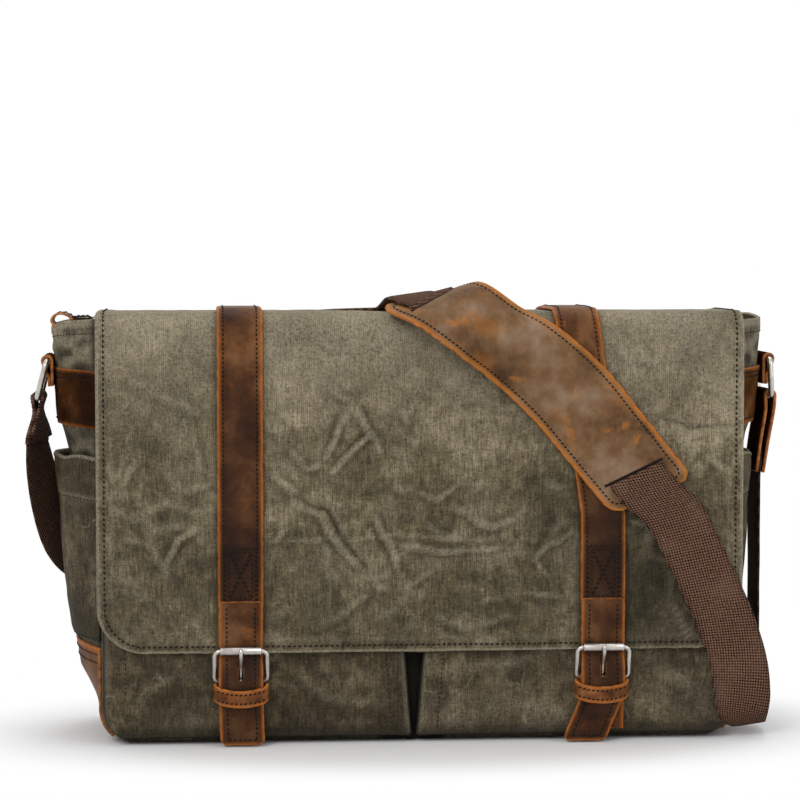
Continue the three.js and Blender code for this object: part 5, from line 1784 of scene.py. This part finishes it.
@dataclass
class RingSet:
    """One rectangular ring, the leather tab that holds it and the strap's end that hangs from it."""

    side: Side
    upper: tuple[float, float]
    lower: tuple[float, float]
    wire: float = 2.0
    tab_width: float = 36.0

    def build(self) -> None:
        """Builds the ring, its tab and the strap's end."""
        way, named = self.side.value, self.side.named
        ring = Piece(named("ring_wire"), "nickel")
        low, high = ((way * a, SIDE_MIDDLE, z) for a, z in (self.lower, self.upper))
        loop = rounded_loop(low, high, 22, (0, 1, 0), 4.4)
        add_tube(ring, loop, self.wire, NICKEL, 18, closed=True, up=(1, 0.02, 0.02))
        ring.build(named("ring"), named("ring"))

        tab = Piece(named("ring_leather"), "leather")
        a, z = self.upper
        line = [(a - 3.3, z - 16.6), (a - 3.2, z - 6), *arc((a, z), self.wire + 1.15, 180, 0), (a + 0.9, z - 7),
                (a - 1.1, z - 11), (a - 1.3, z - 16.8)]
        sheet = edged(self.strip(line, self.tab_width - 0.6), 1.8, 0.8, 0.3).add_to(tab, MATT_LEATHER, RAW_EDGE)
        LEATHER_SEAM.across(tab, sheet, (0.06, 0.94), 0.88, 0.95)
        tab.build("bag", named("ring_tab"))
        self.build_loop() if self.side is Side.LEFT else self.build_end()

    def strip(self, line: Sequence[tuple[float, float]], width: float, count: int = 60) -> Array:
        """Places on a strip of some width folded round a bar, by distances outward and heights."""
        way = self.side.value
        y = SIDE_MIDDLE + way * np.linspace(width / 2, -width / 2, 11)
        return folded([(way * a, z) for a, z in line], y, count)

    def build_loop(self) -> None:
        """Builds the webbing turned round the left ring's lower bar and sewn to itself."""
        piece = Piece("webbing_turn_left", "webbing")
        a, z = self.lower
        line = [(254.3, 194.6), (254.2, 203), (a + 1.9, z - 9), *arc((a, z), self.wire + 1.3, 0, 180), (a - 0.9, z - 8),
                (251.75, 206), (251.75, 198)]
        places = self.strip(line[::-1], WEBBING_WIDTH - 0.6)
        turned, reach = 0.31 * smooth(places[..., 2], 219, 195), places[..., 1] - SIDE_MIDDLE
        places[..., 0] += np.sin(turned) * reach
        places[..., 1] = SIDE_MIDDLE + np.cos(turned) * reach
        sheet = Sheet(places, 2.3, shade=0.15).add_to(piece, WEBBING)
        rows, cols = (0.74, 0.96), (0.12, 0.88)
        LEATHER_SEAM.across(piece, sheet, cols, *rows)
        LEATHER_SEAM.along(piece, sheet, rows, *cols)
        LEATHER_SEAM.line(piece, sheet, rows, cols)
        LEATHER_SEAM.line(piece, sheet, rows[::-1], cols)
        piece.build("ring_left", "webbing_loop_left")

    def build_end(self) -> None:
        """Builds the leather end folded round the right ring's lower bar."""
        piece = Piece("strap_leather_right", "leather")
        a, z = self.lower
        line = [(231.7, 173.6), (234.4, 195), (a - 3.0, z - 9), *arc((a, z), self.wire + 1.25, 180, 0),
                (a + 2.7, z - 9), (239.6, 195), (236.2, 173)]
        sheet = edged(self.strip(line, WEBBING_WIDTH - 0.4, 80), 1.9, 0.84, 0.35).add_to(piece, MATT_LEATHER, RAW_EDGE)
        LEATHER_SEAM.along(piece, sheet, (0.6, 0.98), 0.1, 0.9)
        LEATHER_SEAM.across(piece, sheet, (0.1, 0.9), 0.64, 0.975)
        piece.build("ring_right", "strap_end_right")


@dataclass
class ZipSet:
    """The zip of the mouth: two cloth panels, its tail with a leather tab, the slider and its pull."""

    reach: float = 196.0
    low: float = 228.2
    high: float = 275.4
    pitch: float = 2.6
    tail: float = 274.4

    def build(self) -> None:
        """Builds every piece of the zip."""
        self.build_panel("front", -39.8)
        self.build_panel("back", 55.8)
        self.build_tail()
        self.build_slider()

    def add_teeth(self, piece: Piece, xs: Array, y: float, z: float, size: Sequence[float]) -> None:
        """Adds a row of teeth.

        Args:
            piece: The piece that they join.
            xs: Their places along the zip.
            y: Their place from front to back.
            z: Their height.
            size: Half their size along each axis.
        """
        tooth = np.array([(i, j, k) for k in (-1, 1) for j in (-1, 1) for i in (-1, 1)], float) * size
        quads = np.array([(0, 2, 3, 1), (4, 5, 7, 6), (0, 1, 5, 4), (2, 6, 7, 3), (0, 4, 6, 2), (1, 3, 7, 5)])
        faces = (quads + 8 * np.arange(len(xs))[:, None, None]).reshape(-1, 4)
        piece.add(np.concatenate([tooth + (x, y, z) for x in xs]), faces, ZIP_TEETH)

    def build_panel(self, name: str, y: float) -> None:
        """Builds one hanging panel with its tape and teeth.

        Args:
            name: front or back.
            y: Where it hangs.
        """
        piece = Piece(f"zip_cloth_{name}", "canvas")
        xs = steps(-self.reach + 0.6, self.reach - 0.6, 5)
        z, x = grid(steps(self.low + 10.5, self.high - 0.5, 4), xs)
        cloth = Sheet(spots(x, y + 0.12 * ripple(spots(x, z, 0), 30, 21), z), 1.4, flat=np.dstack([x, z]))
        cloth.add_to(piece, BODY_CANVAS, back=LINING)
        Sheet(spots(xs, y, steps(self.low + 1.4, self.low + 15, 3)[:, None]), 0.9).add_to(piece, ZIP_TAPE)
        CANVAS_SEAM.across(piece, cloth, (0.005, 0.995), 0.08, 0.95)
        teeth = np.arange(-self.reach + 3, self.reach - 3, self.pitch)
        self.add_teeth(piece, teeth, y, self.low + 1.3, (0.8, 0.75, 1.1))
        piece.build(f"zip_{name}", f"zip_panel_{name}")

    def build_tail(self) -> None:
        """Builds the closed tail of the zip and the leather tab on its end."""
        piece = Piece("zip_tail_tape", "zip")
        x, y = grid(steps(-238.3, -196.5, 3), steps(19.6, -3.8, 3))
        Sheet(spots(x, y, self.tail), 0.9).add_to(piece, ZIP_TAPE)
        xs = np.arange(-229, -217, self.pitch)
        for shift, way in ((0, -1), (self.pitch / 2, 1)):
            self.add_teeth(piece, xs + shift, SIDE_MIDDLE + 0.5 * way, self.tail + 0.3, (0.8, 1.4, 0.8))
        piece.build("bag", "zip_tail")

        tab = Piece("zip_tail_leather", "leather")
        places = folded([(-229.8, 272.8), (-236, 272.7), (-241, 273.4), (-243.4, 276.4), (-241.4, 280.0),
                         (-236.5, 281.2), (-232, 279.6), (-229.4, 276.9)], np.linspace(22.4, -6.6, 9), 34)
        sheet = edged(places, 1.5, 0.7, 0.3).add_to(tab, LEATHER, RAW_EDGE)
        LEATHER_SEAM.across(tab, sheet, (0.08, 0.92), 0.93)
        LEATHER_SEAM.along(tab, sheet, (0.6, 0.93), 0.1, 0.9)
        tab.build("bag", "zip_tail_tab")

    def build_slider(self) -> None:
        """Builds the slider with its bridge, and its pull."""
        piece = Piece("zip_slider_body", "nickel")
        add_block(piece, (-213.8, 2.6, 275.8), (-202.2, 13.2, 277.5), 0.7)
        bridge = spline([(x, SIDE_MIDDLE, z) for x, z in ((-217.0, 277.2), (-216.6, 278.6), (-213, 279.1),
                                                          (-209, 278.6), (-206.5, 277.3))], 20)
        add_tube(piece, bridge, 0.75, NICKEL, 10, squeeze=0.8, up=(0, 1, 0))
        piece.build("zip_slider", "zip_slider")
        pull = Piece("zip_pull_leather", "leather")
        link = rounded_loop((-218.6, SIDE_MIDDLE, 278.6), (-214.9, SIDE_MIDDLE, 278.6), 1.9, (0, 1, 0), 1.2)
        add_tube(pull, link, 0.55, NICKEL, 10, closed=True)
        places = folded([(-229.0, 277.8), (-224, 277.6), (-219.6, 277.7), (-217.6, 278.3), (-219.6, 279.1),
                         (-224, 279.1), (-229.0, 278.9)], SIDE_MIDDLE + np.linspace(3.6, -3.6, 7), 40)
        sheet = Sheet(places[::-1], 1.0, shade=0.5).add_to(pull, LEATHER)
        LEATHER_SEAM.along(pull, sheet, (0.05, 0.4), 0.5)
        pull.build("zip_pull", "zip_pull")


@dataclass
class ShoulderStrap:
    """The webbing from ring to ring, over the bag's top, with a leather shoulder pad on it."""

    # Rows of the route: shares of 210, 60 and 283 mm, then the way across
    ROUTE: ClassVar[tuple] = (
        ((-1.2105, 0.1317, 0.688, 0.3, 0.95, 0), (-1.2, 0.14, 0.63, 0.42, 0.9, 0.04),
         (-1.178, 0.22, 0.545, 0.5, 0.83, 0.2), (-1.14, 0.56, 0.45, 0.46, 0.66, 0.6),
         (-1.07, 0.98, 0.4, 0.2, 0.16, 0.96), (-1.015, 1.045, 0.4, 0.04, 0.03, 1), (-0.97, 1.031, 0.4, 0, 0, 1)),
        ((-0.85, 1.031, 0.425, -0.3, 0, 0.95), (-0.68, 1.031, 0.53, -0.66, 0, 0.75),
         (-0.52, 1.031, 0.73, -0.85, 0, 0.52), (-0.402, 1.031, 0.93, -0.97, 0, 0.25),
         (-0.397, 1.031, 0.961, -1, 0, 0.1), (-0.391, 0.997, 0.98, -1, -0.05, 0), (-0.38, 0.92, 0.9865, -1, -0.2, 0),
         (-0.34, 0.8, 0.9885, -0.88, -0.47, 0), (-0.2, 0.35, 0.999, -0.74, -0.67, 0),
         (-0.08, -0.2, 1.0045, -0.74, -0.66, 0), (-0.03, -0.63, 1.0235, -0.8, -0.57, -0.1)),
        ((-0.02, -0.7, 1.02, -0.8, -0.57, -0.12), (0.08, -1.055, 1.014, -0.76, -0.4, -0.42),
         (0.2, -1.075, 0.957, -0.845, -0.33, -0.42), (0.3, -1.055, 0.913, -0.87, -0.1, -0.47),
         (0.452, -1.046, 0.8145, -0.865, 0, -0.5), (0.571, -1.046, 0.7085, -0.89, 0, -0.45),
         (0.722, -1.046, 0.575, -0.904, 0, -0.427)),
        ((0.785, -1.075, 0.531, -0.88, 0, -0.47), (0.886, -1.074, 0.389, -0.91, 0, -0.41),
         (0.96, -1.074, 0.267, -0.95, 0, -0.31), (0.998, -1.074, 0.175, -0.97, 0, -0.23)),
        ((1.012, -1.05, 0.1, -0.97, -0.1, -0.14), (1.022, -0.93, 0.045, -0.9, -0.42, 0.06),
         (1.05, -0.72, 0.026, -0.7, -0.7, 0.03), (1.083, -0.46, 0.045, -0.35, -0.93, 0.03),
         (1.09, -0.28, 0.16, -0.08, -0.99, 0.05), (1.103, -0.05, 0.38, -0.03, -1, 0.02),
         (1.1124, 0.1317, 0.61, 0, -1, 0), (1.118, 0.1317, 0.66, 0, -1, 0)))

    width: float = WEBBING_WIDTH
    thickness: float = 2.3
    pad_width: float = 58.0
    pad_corner: float = 10.0
    overlap: float = 17.0

    def __post_init__(self) -> None:
        """Lays the whole route out as a middle line and the way across it."""
        rows = np.array([row for group in self.ROUTE for row in group], float)
        middle, way = rows[:, :3] * (210, 60, 283), unit(rows[:, 3:])
        counts = np.maximum(3, np.round(np.linalg.norm(np.diff(middle, axis=0), axis=1) / 2.6)).astype(int)
        at = np.concatenate([i + np.arange(n) / n for i, n in enumerate(counts)] + [[len(rows) - 1]])
        self.middle, left, right = (self.curve(middle + shift * way, at) for shift in (0, -19, 19))
        self.way = unit(right - left)
        self.run = distances(self.middle)
        knots = np.append(0, np.cumsum(counts))
        ends = np.cumsum([len(group) for group in self.ROUTE])
        self.left_end, self.pad_start, self.pad_end, self.front_end = (
            int(knots[i]) for i in (ends[0] - 1, ends[1], ends[2] - 1, ends[3] - 1))

    @staticmethod
    def curve(points: Array, at: Array) -> Array:
        """A smooth curve through points, read at places counted in points."""
        dense = spline(points, 40 * (len(points) - 1) + 1)
        return read(at * 40, np.arange(len(dense)), dense)

    def ribbon(self, first: int, last: int, half: Array | float, cols: int) -> Sheet:
        """The strap's base.

        Args:
            first: The first place along the route.
            last: The last one.
            half: Half the width, the same or at each place.
            cols: How many columns.

        Returns:
            The base as a sheet.
        """
        part = slice(first, last + 1)
        reach = np.broadcast_to(half, last - first + 1)[:, None] * np.linspace(-1, 1, cols)
        return Sheet(self.middle[part][:, None, :] + self.way[part][:, None, :] * reach[..., None], 1.0)

    def webbing(self, piece: Piece, first: int, last: int, lift: Array | float, shade: Array | float = 0.0,
                **open_ends: bool) -> None:
        """Adds a stretch of webbing.

        Args:
            piece: The piece that it joins.
            first: The first place along the route.
            last: The last one.
            lift: How far it stands off its base along it.
            shade: Its painted shade.
            open_ends: Whether it goes on before its start or after its end.
        """
        s, c = grid(self.run[first:last + 1], np.linspace(-1, 1, 11))
        wave = 0.25 * ripple(spots(s, 19 * c, 0), 26, 31)
        places = self.ribbon(first, last, self.width / 2 - 0.4, 11).moved(np.reshape(lift, (-1, 1)) + wave)
        thick = self.thickness - 0.7 * smooth(np.abs(c), 0.86, 1)
        # Painted shade: both edges are darkened, as where the webbing curls away from the light
        dark = np.reshape(shade, (-1, 1)) + 0.25 * smooth(np.abs(c), 0.8, 1)
        Sheet(places, thick, shade=dark, flat=np.dstack([19 * c, s])).add_to(piece, WEBBING, **open_ends)

    def build(self) -> None:
        """Builds the webbing and the pad."""
        self.build_webbing()
        self.build_pad()

    def build_webbing(self) -> None:
        """Builds the three stretches of webbing."""
        run, lap = self.run, self.overlap
        left = Piece("strap_webbing_left", "webbing")
        # Painted shade: the left webbing darkens towards its ring
        self.webbing(left, 0, self.left_end, 0, 0.35 * smooth(run[:self.left_end + 1], 75, 30), open_end=True)
        thing = left.loose("webbing_left")
        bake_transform(thing)

        over = Piece("strap_webbing_over", "webbing")
        start, end = run[self.pad_start], run[self.pad_end]
        last = int(np.searchsorted(run, start + lap + 6))
        part = run[self.left_end:last + 1]
        lift = 4.4 * smooth(part, start - 30, start - 3) - 4.6 * smooth(part, start + lap, start + lap + 5)
        # Painted shade under the pad's end
        self.webbing(over, self.left_end, last, lift, 0.15 * smooth(part, start, start + 15), open_start=True)
        first = int(np.searchsorted(run, end - lap - 6))
        part = run[first:self.front_end + 1]
        lift = 4.4 * smooth(part, end + 26, end + 2) - 4.6 * smooth(part, end - lap, end - lap - 5)
        self.webbing(over, first, self.front_end, lift, open_end=True)
        over.build("bag", "webbing_back", "webbing_top", "webbing_front")

        fold = Piece("strap_webbing_fold", "webbing")
        part = run[self.front_end:]
        # Painted shade: the webbing darkens as it runs down the right end
        self.webbing(fold, self.front_end, len(run) - 1, 0, 0.35 * smooth(part - part[0], 20, 60), open_start=True)
        thing = fold.loose("webbing_fold")
        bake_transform(thing)

    def build_pad(self) -> None:
        """Builds the leather shoulder pad, thin dark strips of painted shade for its slots, and its lining."""
        piece = Piece("strap_pad", "leather")
        first, last = self.pad_start, self.pad_end
        run = self.run[first:last + 1] - self.run[first]
        near = np.minimum(run, run[-1] - run)
        half = self.pad_width / 2 - self.pad_corner + np.sqrt(
            self.pad_corner**2 - np.clip(self.pad_corner - near - 0.8, 0, self.pad_corner) ** 2)
        s, c = grid(self.run[first:last + 1], np.linspace(-1, 1, 33))
        inner = np.minimum((1 - np.abs(c)) * half[:, None], near[:, None] + 0.5)
        puff, ends = smooth(inner, 1.5, 12), smooth(near[:, None], 14, 40)
        flat = spots(s, 29 * c, 0)
        creases = 0.5 * ripple(flat, (18, 44, 1), 33) + 0.22 * ripple(flat, 9, 34)
        lift = 1.7 + 2.4 * ends * (0.55 + 0.45 * puff) + creases * puff
        scuffs = 0.32 * smooth(ripple(flat, (30, 12, 1), 35), 0.2, 0.6)
        sheet = Sheet(self.ribbon(first, last, half, 33).moved(lift), 2.2 + puff * (1.1 + 2.9 * ends),
                      np.maximum(0.95 * smooth(inner, 2.7, 1.3), scuffs), flat=np.dstack([29 * c, s]))
        sheet.add_to(piece, PAD_LEATHER, RAW_EDGE)
        self.sew_pad(piece, sheet, run, half)
        piece.build("bag", "shoulder_pad")

        under = Piece("strap_pad_lining", "lining")
        places = self.ribbon(first, last, np.maximum(half - 2.0, 4), 15).moved(0.2 + 0.9 * ends)
        Sheet(places, 0.9).add_to(under, LINING)
        under.build("bag", "shoulder_pad_lining")

    def sew_pad(self, piece: Piece, sheet: Sheet, run: Array, half: Array) -> None:
        """Stitches the pad round its edge, and lays a thin dark strip of painted shade where each slot is.

        Args:
            piece: The pad.
            sheet: Its sheet.
            run: Distances along it.
            half: Half its width along it.
        """
        length, inset, radius = run[-1], 4.4, 6.0
        share = np.linspace(0, 1, 300)
        wide = self.pad_width / 2 - inset - radius
        near = np.minimum(share, 1 - share) * (length - 2 * inset)
        reach = wide + np.sqrt(radius**2 - np.clip(radius - near, 0, radius) ** 2)
        knots = np.linspace(0, 1, len(run))
        row = np.interp(inset + share * (length - 2 * inset), run, knots)
        for way in (-1, 1):
            LEATHER_SEAM.sew(piece, *sheet.at(row, 0.5 + way * reach / (2 * np.interp(row, knots, half))))
        for end in (row[0], row[-1]):
            cols = np.linspace(0.5 - wide / self.pad_width, 0.5 + wide / self.pad_width, 60)
            LEATHER_SEAM.sew(piece, *sheet.at(np.full(60, end), cols))
        for at in (self.overlap + 3.5, length - self.overlap - 3.5):
            rows = np.interp(at, run, knots) + np.array([-0.9, 0, 0.9]) / length
            cols = np.linspace(-21, 21, 9) / self.pad_width + 0.5
            # Painted shade: a thin dark strip on the pad stands for the slot's recess
            slot = np.array([sheet.at(np.full(9, row), cols, 0.12)[0] for row in rows])
            Sheet(slot, 0.3, shade=1.0).add_to(piece, LEATHER)


def main() -> None:
    """Builds the bag, piece by piece."""
    logging.basicConfig(level=logging.INFO, format="%(name)s %(message)s")
    Studio().build()
    strap = ShoulderStrap()
    BodyShell().build()
    for shape in (LEFT_SIDE, RIGHT_SIDE):
        EndTrim(shape).build()
    for side in Side:
        FrontPocket(side).build()
    flap = Flap()
    flap.build()
    for side in Side:
        ClosingStrap(side, flap).build()
    RingSet(Side.LEFT, (246.24, 250), (252.74, 225)).build()
    RingSet(Side.RIGHT, (239.4, 250), (240.6, 225)).build()
    ZipSet().build()
    strap.build()


if __name__ == "__main__":
    main()
